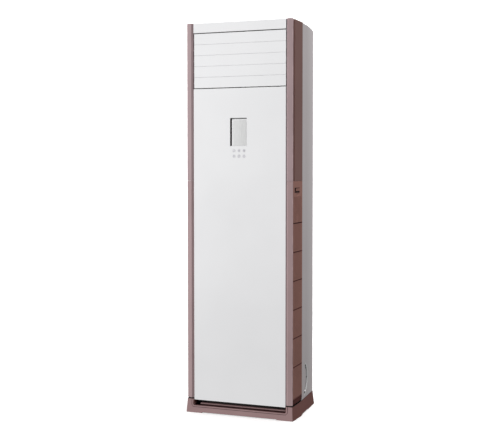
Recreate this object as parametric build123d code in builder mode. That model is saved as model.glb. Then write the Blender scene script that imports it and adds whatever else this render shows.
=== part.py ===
"""Floor standing air conditioner: cabinet, air path, fan, coil and controls.

Millimetres, +X to the right seen from the front, +Y to the back, +Z up.
The origin is on the floor, in the middle of the base.
"""
from build123d import *
from math import atan2, cos, hypot, radians, sin
import os

os.makedirs("parts", exist_ok=True)

# ---------------------------------------------------------------- driving dimensions
# Cabinet
pillar_width = 500.0          # over the outer corners of the pillars
pillar_face = 31.0            # each pillar, seen from the front
case_flare = 7.0              # side panels outside the pillar corners
base_flare = 15.0             # plinth outside the pillar corners, at the floor
base_depth = 330.0
base_height = 62.0
base_wall = 5.0
foot_height = 3.5             # how far the middle of the plinth stands off the floor
panel_bottom = 58.0           # lower edge of the front panel
outlet_bottom = 1478.0        # upper edge of the front panel
cap_height = 47.0             # white cap above the louvres
cap_depth = 96.0              # how far it returns along the top
seam_height = 1061.0          # joint between upper pillar and intake grille
pillar_step = 10.0            # plinth ahead of the pillar corners
rear_step = 5.0               # plinth behind the rear panel
ridge_rise = 5.0              # pillar ridge ahead of its outer corner
ridge_inset = 22.0            # ridge to outer corner, across
bevel_depth = 9.0             # from the ridge back to the pillar's inner edge
strip_length = 122.0          # side strip, from the pillar to the side panel
strip_start_inset = 1.6       # strip behind the pillar's side face
pillar_wall = 2.5
panel_wall = 3.0
panel_depth = 20.0            # depth of the front panel's folded edge
panel_side_gap = 1.0          # cap and front panel to the edge of the white front
sheet = 1.5                   # inner sheet steel
case_sheet = 1.2              # outer sheet steel
side_flange = 13.0            # fold along the side panel's edges
seat_gap = 0.3                # between moulded pieces that rest on each other
pillar_gap = 5.0              # dark gap between plinth and pillars
running = 0.06                # radial clearance of a pin in its hole

# Louvres and vanes
louver_count = 5
louver_pitch = 49.0
louver_gap = 0.9
louver_lap = 4.0              # how far each joint falls to the back, so that it shows no light
louver_left_gap = 4.5         # louvre's ends to the edges of the white front
louver_right_gap = 1.5
outlet_gap = 3.6              # dark joints above the first and below the last louvre
louver_thick = 6.0
louver_pivot_depth = 11.0     # pivot behind the louvre's face
pin_radius = 2.5
crank_radius = 16.0
crank_pin_radius = 2.0
arm_thick = 3.0
vane_count = 5
vane_pitch = 80.0
vane_chord = 56.0
vane_thick = 2.4
vane_crank = 18.0
vane_pivot_depth = 73.0       # pivot behind the pillar corners
motor_radius = 14.0
motor_length = 18.0

# Display and keys
display_width = 79.0
display_height = 124.6
display_bottom = 1217.0
display_shift = -2.9          # the window sits a little left of the middle
key_radius = 6.5
key_gap = 0.4
key_pitch_x = 23.7
key_pitch_z = 24.5
key_row_top = 1196.0
key_travel = 0.8
key_proud = 0.8

# Intake grilles
rib_first = 234.0             # rib lines across the strip
rib_drop = 187.0              # last rib line below the seam
rib_count = 6
slot_count = 13
slot_pitch = 8.0
slot_width = 3.0
slot_margin = 4.5             # slots to the rib lines
end_radius = 14.0             # rear lower corner of the grille
latch_drop = 30.0             # latch window below the seam
latch_height = 22.0
latch_length = 66.0
latch_travel = 5.0
thumb_length = 46.0
thumb_height = 12.0
hinge_height = 10.0           # grille hinge above the plinth
hinge_inset = 17.0            # hinge axis inside the case's side

# Fan, coil
volute_drop = 261.0           # top of the fan case below the seam
fan_drop = 370.0              # fan axis below the top of its case
volute_inset = 111.5          # fan case behind the pillar corners
pipe_space = 50.0             # behind the fan case, for the pipes
scroll_side_gap = 7.0         # scroll to the edge of the fan case
blade_count = 32
blade_depth = 34.0            # radial length of a blade
blade_thick = 1.6
hub_radius = 20.0
shaft_radius = 6.0
scroll_gap = 12.0             # tongue to wheel
scroll_growth = 13.0          # side of the square that the scroll's arcs turn about
eye_inset = 40.0              # bell mouth inside the wheel's rim
motor_case_radius = 64.0
coil_thick = 38.0
coil_head_gap = 102.5         # coil's top to the floor of the air outlet
coil_rear_gap = 37.0          # coil's middle plane at its top to the rear of the air duct
coil_side_gap = 25.0          # coil to the liner, for the return bends
tube_radius = 4.8
tube_pitch = 44.0

# ---------------------------------------------------------------- worked-out places
front_y = -base_depth / 2 + pillar_step
rear_y = base_depth / 2 - rear_step
half_pillar = pillar_width / 2
half_front = half_pillar - pillar_face      # white front between the two pillars
front_width = 2 * half_front
half_case = half_pillar + case_flare
base_width = pillar_width + 2 * base_flare
ridge_y = front_y - ridge_rise
bevel_y = ridge_y + bevel_depth
face_y = ridge_y + 4.0                       # white front face
panel_back_y = face_y + panel_depth
strip_x = half_pillar - strip_start_inset
strip_y = front_y + pillar_gap
strip_end_y = strip_y + strip_length
side_y = strip_end_y + seat_gap              # front edge of the side panels
outlet_top = outlet_bottom + louver_count * louver_pitch
height = outlet_top + cap_height
strip_slant = atan2(half_case + 0.5 - strip_x, strip_length)


def block(x, y, z, mode=Mode.ADD):
    """A block between two values on each axis, in either order."""
    with Locations(((x[0] + x[1]) / 2, (y[0] + y[1]) / 2, (z[0] + z[1]) / 2)):
        Box(abs(x[1] - x[0]), abs(y[1] - y[0]), abs(z[1] - z[0]), mode=mode)


def bent_sheet(plane, points, wall, length, mode=Mode.ADD):
    """A wall of even thickness to the left of a bent line, drawn out along the plane's normal."""
    with BuildSketch(plane) as profile:
        with BuildLine():
            Polyline(*points)
            offset(amount=wall, side=Side.LEFT, kind=Kind.INTERSECTION)
        make_face()
    extrude(profile.sketch, amount=length, mode=mode)


def both_sides(points):
    """A symmetrical outline from its right half, given from front to back."""
    return points + [(-x, y) for x, y in reversed(points)]


def finish(builder, name):
    """Name a finished piece and write it."""
    builder.part.label = name
    export_step(builder.part, f"parts/{name}.step")


def mirrored(builder, name):
    """Write the left-hand twin of a right-hand piece."""
    with BuildPart() as twin:
        mirror(builder.part, about=Plane.YZ)
    finish(twin, name)


# ---------------------------------------------------------------- plinth
# Moulded plinth: drafted outside, a U-shaped front with a lip, a sill behind it,
# an open tray with ribs under the base pan, and four feet.
lip_height = 35.0
sill_height = 40.0
sill_depth = 28.0
sill_back = 15.0              # sill behind the pillar corners
sill_round = 3.5
sill_wall = 6.0               # the sill's front is a shelf, open underneath
sill_web = 16.0               # depth of the web that carries it
pocket_width = 25.0           # open pocket at the left end of the sill
bevel_width = 6.0
rim_offset = 8.5              # engraved line round the opening
rim_width = 1.8
rim_depth = 1.5
corner_radius = 5.0           # lower corners of the opening
shoulder_y = -base_depth / 2 + 90.0
foot_length = 76.0
side_foot = 113.0
rib_height = base_height - 6.0
rib_wall = 3.0
tray_floor = 8.0
tray_front_y = front_y + sill_back + sill_depth + 8.0
hinge_x = half_case - hinge_inset
hinge_z = base_height + hinge_height
hinge_ys = (strip_y + 46.0, strip_end_y - 26.0)

# The plinth's front leans back by its draft.
front_draft = atan2(ridge_y + 2 + base_depth / 2, base_height)
front_plane = Plane(origin=(0, -base_depth / 2, 0), x_dir=(1, 0, 0),
                    z_dir=(0, -cos(front_draft), sin(front_draft)))

with BuildPart() as base:
    with BuildSketch():
        Polygon(*both_sides([(base_width / 2 - 11, -base_depth / 2), (base_width / 2, shoulder_y),
                             (base_width / 2, base_depth / 2)]), align=None)
    with BuildSketch(Plane.XY.offset(base_height)):
        Polygon(*both_sides([(half_pillar + 0.5, ridge_y + 2), (half_case + 0.5, shoulder_y),
                             (half_case + 0.5, rear_y + 1)]), align=None)
    loft(ruled=True)
    fillet(base.edges().filter_by(Axis.Z, reverse=True).filter_by_position(Axis.Z, 1, base_height - 1)
           .sort_by(Axis.Y)[:2], radius=4)
    # U-shaped front with a bevelled rim
    with BuildSketch(Plane.XZ.offset(base_depth / 2 + 1)):
        with Locations((0, base_height)):
            RectangleRounded(front_width + 2 * bevel_width,
                             2 * (base_height - lip_height + bevel_width), corner_radius + bevel_width)
    with BuildSketch(Plane.XZ.offset(-front_y - 1)):
        with Locations((0, base_height)):
            RectangleRounded(front_width, 2 * (base_height - lip_height), corner_radius)
    loft(ruled=True, mode=Mode.SUBTRACT)
    with BuildSketch(Plane.XZ.offset(-front_y + 2)):
        with Locations((0, base_height)):
            RectangleRounded(front_width, 2 * (base_height - lip_height), corner_radius)
    extrude(amount=-(tray_front_y - base_wall - front_y + 2), mode=Mode.SUBTRACT)
    with BuildSketch(front_plane):
        with Locations((0, base_height / cos(front_draft))):
            RectangleRounded(front_width + 2 * (rim_offset + rim_width),
                             2 * (base_height - lip_height + rim_offset + rim_width),
                             corner_radius + rim_offset)
            RectangleRounded(front_width + 2 * rim_offset, 2 * (base_height - lip_height + rim_offset),
                             corner_radius + rim_offset - rim_width, mode=Mode.SUBTRACT)
    extrude(amount=-rim_depth, mode=Mode.SUBTRACT)
    block((-half_front + 2, half_front - 2), (front_y + 3, tray_front_y - base_wall),
          (tray_floor, base_height), mode=Mode.SUBTRACT)
    # sill behind the lip: a shelf with a rounded front edge on a web
    with BuildSketch(Plane.YZ.offset(-half_front + pocket_width)):
        with Locations((front_y + sill_back + sill_depth / 2, sill_height - sill_wall / 2)):
            Rectangle(sill_depth, sill_wall)
        with Locations((front_y + sill_back + sill_depth - sill_web / 2, (sill_height + tray_floor) / 2 - 1)):
            Rectangle(sill_web, sill_height - tray_floor + 2)
    extrude(amount=front_width - pocket_width - 1)
    fillet(base.edges().filter_by(Axis.X).filter_by_position(Axis.Z, sill_height - 0.1, sill_height + 0.1)
           .sort_by(Axis.Y)[0], radius=sill_round)
    # tray and its ribs
    block((-half_case + base_wall, half_case - base_wall), (tray_front_y, rear_y - base_wall),
          (tray_floor, base_height + 1), mode=Mode.SUBTRACT)
    for x in (-120.0, 0.0, 120.0):
        block((x - rib_wall / 2, x + rib_wall / 2), (tray_front_y - 1, rear_y - base_wall + 1),
              (tray_floor - 1, rib_height))
    for y in (tray_front_y + 60, rear_y - 80):
        block((-half_case + base_wall - 1, half_case - base_wall + 1), (y, y + rib_wall),
              (tray_floor - 1, rib_height))
    # ears that carry the pins of the intake grilles
    for side in (-1, 1):
        for y in hinge_ys:
            with BuildSketch(Plane.XZ.offset(-y)):
                with BuildLine():
                    Polyline((side * (hinge_x - 6), base_height - 8), (side * (hinge_x - 6), hinge_z + 1),
                             (side * (hinge_x - 3), hinge_z + 5), (side * (hinge_x + 3), hinge_z + 5),
                             (side * (hinge_x + 5), hinge_z), (side * (hinge_x + 5), base_height),
                             (side * (half_case - base_wall + 1), base_height),
                             (side * (half_case - base_wall + 1), base_height - 8), close=True)
                make_face()
                with Locations((side * hinge_x, hinge_z)):
                    Circle(pin_radius + running, mode=Mode.SUBTRACT)
            extrude(amount=-4)
    # relief between the feet
    block((-base_width / 2 + 11 + foot_length, base_width / 2 - 11 - foot_length), (-base_depth, base_depth),
          (-1, foot_height), mode=Mode.SUBTRACT)
    block((-base_width, base_width), (front_y + side_foot, rear_y - side_foot + 5), (-1, foot_height),
          mode=Mode.SUBTRACT)
finish(base, "base")

# Sheet-steel pan that lies on the ribs and carries the fan case.
pan_half = hinge_x - 8.0
pan_front_y = tray_front_y + 2
pan_rear_y = rear_y - base_wall - 2
pan_top = rib_height + sheet
with BuildPart() as base_pan:
    block((-pan_half, pan_half), (pan_front_y, pan_rear_y), (rib_height, pan_top))
    block((-pan_half, pan_half), (pan_front_y, pan_front_y + sheet), (rib_height, rib_height + 12))
    with GridLocations(2 * pan_half - 40, pan_rear_y - pan_front_y - 40, 2, 2):
        with Locations((0, (pan_front_y + pan_rear_y) / 2, rib_height)):
            Hole(2.2, depth=10)
finish(base_pan, "base_pan")

# ---------------------------------------------------------------- outer case
# Side panels: folded steel, the top edge falling away towards the back, and a pressed
# crescent with three slits that marks the knock-out for the pipes.
side_top = height - 1.5
screw_radius = 1.9
screw_hole = 2.1
screw_xs = (-half_case + 7.0, half_case - 7.0)
screw_count = 7
screw_inset = 60.0            # first and last screw inside the panel's ends
slope_y = rear_y - 106.0
slope_drop = 12.0
screw_pitch = (side_top - slope_drop - base_height - 2.4 * screw_inset) / (screw_count - 1)
screw_zs = [base_height + screw_inset + screw_pitch * i for i in range(screw_count)]
press_depth = 6.0
slit_width = 8.0
slit_length = 12.0
press_top = (side_y + 59.0, 213.0)            # tips of the crescent, Y and Z
press_bottom = (side_y + 40.0, 81.0)
press_inner = (side_y + 75.0, 148.5)          # its two curved sides, at half height
press_outer = (side_y + 99.0, 150.0)
with BuildPart() as right_side_panel:
    bent_sheet(Plane.XY.offset(base_height),
               [(half_case - side_flange, side_y), (half_case, side_y), (half_case, rear_y),
                (half_case - side_flange, rear_y)], case_sheet, side_top - base_height)
    with BuildSketch(Plane.YZ.offset(half_case - 20)) as falling_top:
        with BuildLine():
            Line((slope_y, side_top), (slope_y, side_top + 9))
            Line((slope_y, side_top + 9), (rear_y + 5, side_top + 9))
            Line((rear_y + 5, side_top + 9), (rear_y + 5, side_top - slope_drop))
            ThreePointArc((rear_y + 5, side_top - slope_drop),
                          ((slope_y + rear_y + 5) / 2, side_top - 0.3 * slope_drop),
                          (slope_y, side_top))
        make_face()
    extrude(falling_top.sketch, amount=30, mode=Mode.SUBTRACT)
    for grow, depth, mode in ((case_sheet, press_depth + case_sheet, Mode.ADD),
                              (0, press_depth, Mode.SUBTRACT)):
        with BuildSketch(Plane.YZ.offset(half_case)) as crescent:
            with BuildLine():
                ThreePointArc(press_top, press_outer, press_bottom)
                ThreePointArc(press_bottom, press_inner, press_top)
            make_face()
            if grow:
                offset(amount=grow)
        extrude(crescent.sketch, amount=-depth, mode=mode)
    with BuildSketch(Plane.YZ.offset(half_case)) as slits:
        with Locations((press_inner[0] + 4, press_inner[1]), (press_top[0] + 3, press_top[1] - 12),
                       (press_bottom[0] + 12, press_bottom[1] + 12)):
            Rectangle(slit_width, slit_length)
    extrude(slits.sketch, amount=-3 * press_depth, mode=Mode.SUBTRACT)
    with BuildSketch(Plane.XZ.offset(-rear_y - 1)) as screw_holes:
        with Locations(*[(screw_xs[1], z) for z in screw_zs]):
            Circle(screw_hole)
    extrude(screw_holes.sketch, amount=5, mode=Mode.SUBTRACT)
finish(right_side_panel, "right_side_panel")
mirrored(right_side_panel, "left_side_panel")

# Rear panel: sheet steel with pressed beads, a pipe hole and two holes for the wall strap.
rear_top = side_top - slope_drop - 1
port_x = 150.0
port_z = 160.0
port_radius = 36.0
grommet_wall = 4.0
strap_pitch = 300.0
strap_z = rear_top - 40
strap_hole = 3.0
panel_plane_y = rear_y - case_sheet
with BuildPart() as rear_panel:
    block((-half_case + case_sheet + 0.3, half_case - case_sheet - 0.3),
          (panel_plane_y - case_sheet, panel_plane_y), (base_height, rear_top))
    for z in range(4):
        with BuildSketch(Plane.XZ.offset(-panel_plane_y + case_sheet)) as bead:
            with Locations((0, 400 + 320 * z)):
                SlotOverall(360, 26)
        extrude(bead.sketch, amount=3)
        with BuildSketch(Plane.XZ.offset(-panel_plane_y)) as dish:
            with Locations((0, 400 + 320 * z)):
                SlotOverall(357, 23)
        extrude(dish.sketch, amount=3, mode=Mode.SUBTRACT)
    with BuildSketch(Plane.XZ.offset(-rear_y)) as rear_holes:
        with Locations((port_x, port_z)):
            Circle(port_radius)
        with Locations((-strap_pitch / 2, strap_z), (strap_pitch / 2, strap_z)):
            Circle(strap_hole)
        with Locations(*[(x, z) for x in screw_xs for z in screw_zs]):
            Circle(screw_hole)
    extrude(rear_holes.sketch, amount=10, mode=Mode.SUBTRACT)
finish(rear_panel, "rear_panel")

# Pan-head screws through the side panels' folds into the rear panel.
with BuildPart() as panel_screws:
    for amount, radius in ((2.0, 4.0), (-6.0, screw_radius)):
        with BuildSketch(Plane.XZ.offset(-rear_y)) as round_section:
            with Locations(*[(x, z) for x in screw_xs for z in screw_zs]):
                Circle(radius)
        extrude(round_section.sketch, amount=-amount)
finish(panel_screws, "panel_screws")

# Rubber grommet in the pipe hole.
with BuildPart() as pipe_grommet:
    with BuildSketch(Plane(origin=(port_x, 0, port_z), x_dir=(1, 0, 0), z_dir=(0, 0, 1))) as ring:
        with BuildLine():
            Polyline((port_radius - grommet_wall, panel_plane_y - 5),
                     (port_radius + 4, panel_plane_y - 5),
                     (port_radius + 4, panel_plane_y - case_sheet - 0.1),
                     (port_radius - 0.2, panel_plane_y - case_sheet - 0.1),
                     (port_radius - 0.2, panel_plane_y + 0.1),
                     (port_radius + 4, panel_plane_y + 0.1),
                     (port_radius + 4, rear_y + 2), (port_radius - grommet_wall, rear_y + 2), close=True)
        make_face()
    revolve(ring.sketch, axis=Axis((port_x, 0, port_z), (0, 1, 0)))
finish(pipe_grommet, "pipe_grommet")

# White cap over the louvres: a folded front that returns along the top.
cap_back_y = face_y + cap_depth
cap_bottom = outlet_top + outlet_gap - louver_gap / 2
with BuildPart() as outlet_cap:
    with BuildSketch(Plane.YZ.offset(-half_front + panel_side_gap)) as cap_side:
        with BuildLine():
            Polyline((face_y + 12, cap_bottom), (face_y, cap_bottom), (face_y, height),
                     (cap_back_y, height))
            offset(amount=panel_wall, side=Side.RIGHT, kind=Kind.INTERSECTION)
        make_face()
    extrude(cap_side.sketch, amount=front_width - 2 * panel_side_gap)
    fillet(outlet_cap.edges().filter_by(Axis.X).sort_by(Axis.Y)[:2].sort_by(Axis.Z)[-1], radius=2)
finish(outlet_cap, "outlet_cap")

# Steel top cover between the side panels, with the same fall towards the back.
cover_half = half_case - case_sheet - seat_gap
with BuildPart() as top_cover:
    with BuildSketch(Plane.YZ.offset(-cover_half)) as cover_side:
        with BuildLine():
            Line((cap_back_y + 0.3, side_top), (slope_y, side_top))
            ThreePointArc((slope_y, side_top),
                          ((slope_y + rear_y + 5) / 2, side_top - 0.3 * slope_drop),
                          (rear_y + 5, side_top - slope_drop))
            offset(amount=case_sheet, side=Side.RIGHT)
        make_face()
    extrude(cover_side.sketch, amount=2 * cover_half)
    block((-half_case, half_case), (panel_plane_y, rear_y + 9), (height - 60, height), mode=Mode.SUBTRACT)
    for side in (-1, 1):
        block((side * pillar_width, side * (half_front + 0.2)), (front_y, side_y + case_sheet + seat_gap),
              (height - 60, height), mode=Mode.SUBTRACT)
finish(top_cover, "top_cover")

# ---------------------------------------------------------------- pillars and intake grilles
# One moulded corner section: a bevel beside the white front, a ridge, a face that falls
# back to the outer corner, and a strip that slants out to the side panel.
def corner_line(groove):
    """Outside line of the corner section; the groove is how deep the strip's front is let in."""
    start = [(half_front + 0.5, bevel_y), (half_pillar - ridge_inset, ridge_y), (half_pillar, front_y),
             (half_pillar, strip_y - 1)]
    end = [(half_case + 0.5, strip_end_y), (half_case - side_flange, strip_end_y)]
    if groove:
        run = groove_end_y - strip_y
        return start + [(half_pillar - groove, strip_y - 1), (half_pillar - groove, groove_end_y),
                        (strip_x + run * sin(strip_slant), groove_end_y)] + end
    return start + [(strip_x, strip_y)] + end


groove_end_y = strip_y + 24.0
groove_depth = 4.0
top_plate = 3.0
pillar_bottom = base_height + pillar_gap
grille_top = seam_height - 0.8
upper_length = height - seam_height
with BuildPart() as right_upper_pillar:
    bent_sheet(Plane.XY.offset(seam_height), corner_line(groove_depth), pillar_wall, upper_length)
    with BuildSketch(Plane.XY.offset(height - top_plate)) as lid:
        Polygon(*corner_line(groove_depth)[:-1], (half_case - 2, strip_end_y),
                (half_front + 0.5, strip_end_y), align=None)
    extrude(lid.sketch, amount=top_plate)
    fillet(right_upper_pillar.edges().filter_by(Axis.Z).filter_by_position(Axis.Y, ridge_y - 1, front_y + 1)
           .filter_by(lambda e: e.center().Y < front_y + 0.1 and e.length > 0.9 * upper_length), radius=2)
finish(right_upper_pillar, "right_upper_pillar")
mirrored(right_upper_pillar, "left_upper_pillar")

# The strip's own plane: x along the strip to the back, y up, z out of the cabinet.
strip_plane = Plane(origin=(strip_x, strip_y, 0), x_dir=(sin(strip_slant), cos(strip_slant), 0),
                    z_dir=(cos(strip_slant), -sin(strip_slant), 0))
latch_top = seam_height - latch_drop
rib_pitch = (seam_height - rib_drop - rib_first) / (rib_count - 1)
rib_levels = [rib_first + rib_pitch * i for i in range(rib_count)]
zone_bottoms = [pillar_bottom + 16.0] + [z + slot_margin for z in rib_levels]
zone_tops = [z - slot_margin for z in rib_levels] + [latch_top - latch_height - 18.0]
slots_middle = strip_length / 2 + 1.0
latch_centre = (latch_length / 2 + 22.0, latch_top - latch_height / 2)
thumb_centre = (latch_centre[0] + (latch_length - thumb_length) / 2 - 0.5,
                latch_top - 3.0 - thumb_height / 2)
cup_left = (thumb_centre[0] - thumb_length / 2, latch_top - latch_height - 2.5)
cup_right = (thumb_centre[0] + thumb_length / 2, cup_left[1])
cup_depth = 11.0
arrow_place = (58.0, rib_levels[-1] + 22.0)
arrow_height = 26.0
grille_length = grille_top - pillar_bottom
with BuildPart() as right_intake_grille:
    bent_sheet(Plane.XY.offset(pillar_bottom), corner_line(0), pillar_wall, grille_length)
    fillet(right_intake_grille.edges().filter_by(Axis.Z)
           .filter_by(lambda e: e.center().Y < front_y + 0.1 and e.length > 0.9 * grille_length), radius=2)
    with BuildSketch(strip_plane.offset(1)) as slots:
        for low, top in zip(zone_bottoms, zone_tops):
            with Locations((slots_middle, (low + top) / 2)):
                with GridLocations(slot_pitch, 1, slot_count, 1):
                    Rectangle(slot_width, top - low)
        with Locations(arrow_place):
            Rectangle(3 * slot_pitch - slot_width, arrow_height + 10, mode=Mode.SUBTRACT)
    extrude(slots.sketch, amount=-(pillar_wall + 2), mode=Mode.SUBTRACT)
    # cross slits, the latch's window and the rounded lower end
    with BuildSketch(strip_plane.offset(1)) as openings:
        for i, z in enumerate(rib_levels):
            with Locations((slots_middle, z)):
                Rectangle(strip_length - 16, 5.0 if i == rib_count - 1 else 3.0)
        with Locations(latch_centre):
            Rectangle(latch_length, latch_height)
    extrude(openings.sketch, amount=-(pillar_wall + 2), mode=Mode.SUBTRACT)
    with BuildSketch(Plane.YZ.offset(half_case - 2 * side_flange)) as corner:
        with BuildLine():
            Polyline((strip_end_y - end_radius, pillar_bottom), (strip_end_y + 1, pillar_bottom),
                     (strip_end_y + 1, pillar_bottom + end_radius), (strip_end_y, pillar_bottom + end_radius))
            RadiusArc((strip_end_y, pillar_bottom + end_radius), (strip_end_y - end_radius, pillar_bottom),
                      end_radius)
        make_face()
    extrude(corner.sketch, amount=3 * side_flange, mode=Mode.SUBTRACT)
    # finger cup under the latch and an arrow that points to it
    with BuildSketch(strip_plane.offset(1)) as marks:
        with BuildLine():
            Line(cup_left, cup_right)
            ThreePointArc(cup_right, (thumb_centre[0], cup_left[1] - cup_depth), cup_left)
        make_face()
        with Locations(arrow_place):
            Rectangle(2, arrow_height)
            with Locations((0, arrow_height / 2 - 2)):
                Triangle(a=10, b=9, c=9)
    extrude(marks.sketch, amount=-2.2, mode=Mode.SUBTRACT)
    # hinge pins on two cheeks inside the lower end
    for y in hinge_ys:
        wall_x = strip_x + (y - strip_y) * sin(strip_slant) - 1.0
        with BuildSketch(Plane.XZ.offset(-y - 4 - seat_gap)) as cheek:
            with BuildLine():
                Polyline((hinge_x - 4, hinge_z - 3), (hinge_x - 4, hinge_z + 14), (wall_x, hinge_z + 30),
                         (wall_x, hinge_z - 3), close=True)
            make_face()
        extrude(cheek.sketch, amount=-3)
        with BuildSketch(Plane.XZ.offset(-y - 7 - seat_gap)) as pin:
            with Locations((hinge_x, hinge_z)):
                Circle(pin_radius)
        extrude(pin.sketch, amount=8)
finish(right_intake_grille, "right_intake_grille")
mirrored(right_intake_grille, "left_intake_grille")

# Latch: a sprung slide in the strip's window, with finger ribs and a tongue above.
latch_wall = 2.4
with BuildPart() as right_grille_latch:
    with BuildSketch(strip_plane.offset(-0.4)) as thumb:
        with Locations(thumb_centre):
            Rectangle(thumb_length, thumb_height)
    extrude(thumb.sketch, amount=-(pillar_wall + latch_wall))
    with BuildSketch(strip_plane.offset(-pillar_wall - seat_gap)) as backing:
        with Locations((thumb_centre[0] + 2, latch_centre[1])):
            Rectangle(thumb_length + 8, latch_height + 8)
    extrude(backing.sketch, amount=-latch_wall + 0.3)
    with BuildSketch(strip_plane.offset(-0.4)) as ridges:
        with Locations(thumb_centre):
            with GridLocations(1, 3.4, 1, 3):
                Rectangle(thumb_length - 8, 1.4)
    extrude(ridges.sketch, amount=0.8)
finish(right_grille_latch, "right_grille_latch")
mirrored(right_grille_latch, "left_grille_latch")

# Dust filter clipped behind the strip: a frame with cross bars and a fine net.
filter_bottom = hinge_z + 36.0
filter_top = latch_top - latch_height - 12.0
filter_bars = 6
filter_wall = 3.0
filter_rim = 7.0
filter_length = strip_length - 26.0
filter_middle = (strip_length / 2 + 2, (filter_bottom + filter_top) / 2)
with BuildPart() as right_filter:
    with BuildSketch(strip_plane.offset(-pillar_wall - seat_gap)) as frame_shape:
        with Locations(filter_middle):
            Rectangle(filter_length, filter_top - filter_bottom)
            Rectangle(filter_length - 2 * filter_rim, filter_top - filter_bottom - 2 * filter_rim,
                      mode=Mode.SUBTRACT)
            with GridLocations(1, (filter_top - filter_bottom) / filter_bars, 1, filter_bars - 1):
                Rectangle(filter_length, 4)
    extrude(frame_shape.sketch, amount=-filter_wall)
    with BuildSketch(strip_plane.offset(-pillar_wall - seat_gap - filter_wall / 2)) as net:
        with Locations(filter_middle):
            Rectangle(filter_length - 2, filter_top - filter_bottom - 2)
    extrude(net.sketch, amount=-0.6)
finish(right_filter, "right_filter")
mirrored(right_filter, "left_filter")

# ---------------------------------------------------------------- front panel and controls
display_x = display_shift
display_z = display_bottom + display_height / 2
panel_top = outlet_bottom - outlet_gap + louver_gap / 2
panel_half = half_front - panel_side_gap
flange_top = outlet_bottom - 4.5           # folded edge, low enough for the last louvre to turn
stiffener_first = panel_bottom + 302.0
stiffener_pitch = 260.0
keys = {"power": (-1, 0), "mode": (0, 0), "fan_speed": (1, 0),
        "swing": (-1, 1), "warmer": (0, 1), "cooler": (1, 1)}


def key_place(column, row):
    """Centre of a key on the front panel."""
    return column * key_pitch_x, key_row_top - row * key_pitch_z


with BuildPart() as front_panel:
    block((-panel_half, panel_half), (face_y, face_y + panel_wall), (panel_bottom, panel_top))
    with BuildSketch(Plane.XY.offset(panel_bottom)) as folds:
        for side in (-1, 1):
            with Locations((side * (panel_half - 1.25), face_y + panel_depth / 2)):
                Rectangle(2.5, panel_depth)
    extrude(folds.sketch, amount=flange_top - panel_bottom)
    for low, top in ((panel_bottom, panel_bottom + 2.5), (flange_top - 2.5, flange_top)):
        block((-panel_half, panel_half), (face_y, panel_back_y), (low, top))
    for i in range(3):
        z = stiffener_first + i * stiffener_pitch
        block((-panel_half + 1, panel_half - 1), (face_y + 1, panel_back_y), (z, z + 2.0))
    fillet(front_panel.edges().filter_by(Axis.Z)
           .filter_by(lambda e: e.length > 0.9 * (panel_top - panel_bottom)).group_by(Axis.Y)[0], radius=2.5)
    with BuildSketch(Plane.XZ.offset(-face_y + 1)) as openings:
        with Locations((display_x, display_z)):
            Rectangle(display_width, display_height)
        with Locations(*[key_place(*place) for place in keys.values()]):
            Circle(key_radius + key_gap)
    extrude(openings.sketch, amount=-(panel_wall + 2), mode=Mode.SUBTRACT)
finish(front_panel, "front_panel")

# Display: a dark tray behind the opening, and a pale block that leaves a dark L to the
# left and above it.
housing_depth = 12.0
board_y = face_y + 17.0
window_inset_left = 8.0
window_inset_top = 5.0
slip = 0.4
with BuildPart() as display_housing:
    with BuildSketch(Plane.XZ.offset(-face_y - panel_wall - seat_gap)) as rim:
        with Locations((display_x, display_z)):
            Rectangle(display_width + 16, display_height + 16)
    extrude(rim.sketch, amount=-(housing_depth - panel_wall - seat_gap))
    with BuildSketch(Plane.XZ.offset(-face_y - panel_wall)) as well:
        with Locations((display_x, display_z)):
            Rectangle(display_width, display_height)
    extrude(well.sketch, amount=-(housing_depth - panel_wall - 1.5), mode=Mode.SUBTRACT)
    for side in (-1, 1):
        for z in (display_bottom - 6, display_bottom + display_height + 2):
            block((display_x + side * 42, display_x + side * 46), (face_y + housing_depth - 1, board_y),
                  (z, z + 4))
finish(display_housing, "display_housing")

window_left = display_x - display_width / 2 + window_inset_left
window_right = display_x + display_width / 2 - slip
window_top = display_bottom + display_height - window_inset_top
with BuildPart() as display_window:
    block((window_left, window_right), (face_y + 0.6, face_y + housing_depth - 1.5),
          (display_bottom + slip, window_top))
    chamfer(display_window.faces().sort_by(Axis.Y)[0].edges().filter_by(Axis.Z).sort_by(Axis.X)[0],
            length=2.5)
    chamfer(display_window.faces().sort_by(Axis.Y)[0].edges().filter_by(Axis.X).sort_by(Axis.Z)[-1],
            length=2.0)
finish(display_window, "display_window")

board_wall = 1.6
board_half = display_width / 2 + 22.5
with BuildPart() as control_board:
    block((-board_half, board_half), (board_y, board_y + board_wall),
          (key_row_top - key_pitch_z - 14, window_top + 12))
    for place in keys.values():
        x, z = key_place(*place)
        block((x - 3, x + 3), (board_y - 3.5, board_y), (z - 3, z + 3))
finish(control_board, "control_board")

# Round keys: a cap through the panel, a collar behind it, a stem down to its switch.
collar_y = face_y + panel_wall + seat_gap
for name, place in keys.items():
    x, z = key_place(*place)
    with BuildPart() as key:
        with BuildSketch(Plane.XZ.offset(-face_y + key_proud)) as cap:
            with Locations((x, z)):
                Circle(key_radius)
        extrude(cap.sketch, amount=-(key_proud + panel_wall + seat_gap + 1))
        fillet(key.edges().filter_by(GeomType.CIRCLE).sort_by(Axis.Y)[0], radius=0.6)
        with BuildSketch(Plane.XZ.offset(-collar_y)) as collar:
            with Locations((x, z)):
                Circle(key_radius + 1.8)
        extrude(collar.sketch, amount=-1.2)
        with BuildSketch(Plane.XZ.offset(-collar_y - 1)) as stem:
            with Locations((x, z)):
                Circle(2.0)
        extrude(stem.sketch, amount=-(board_y - 3.5 - key_travel - 0.3 - collar_y - 1))
    finish(key, f"key_{name}")

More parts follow.
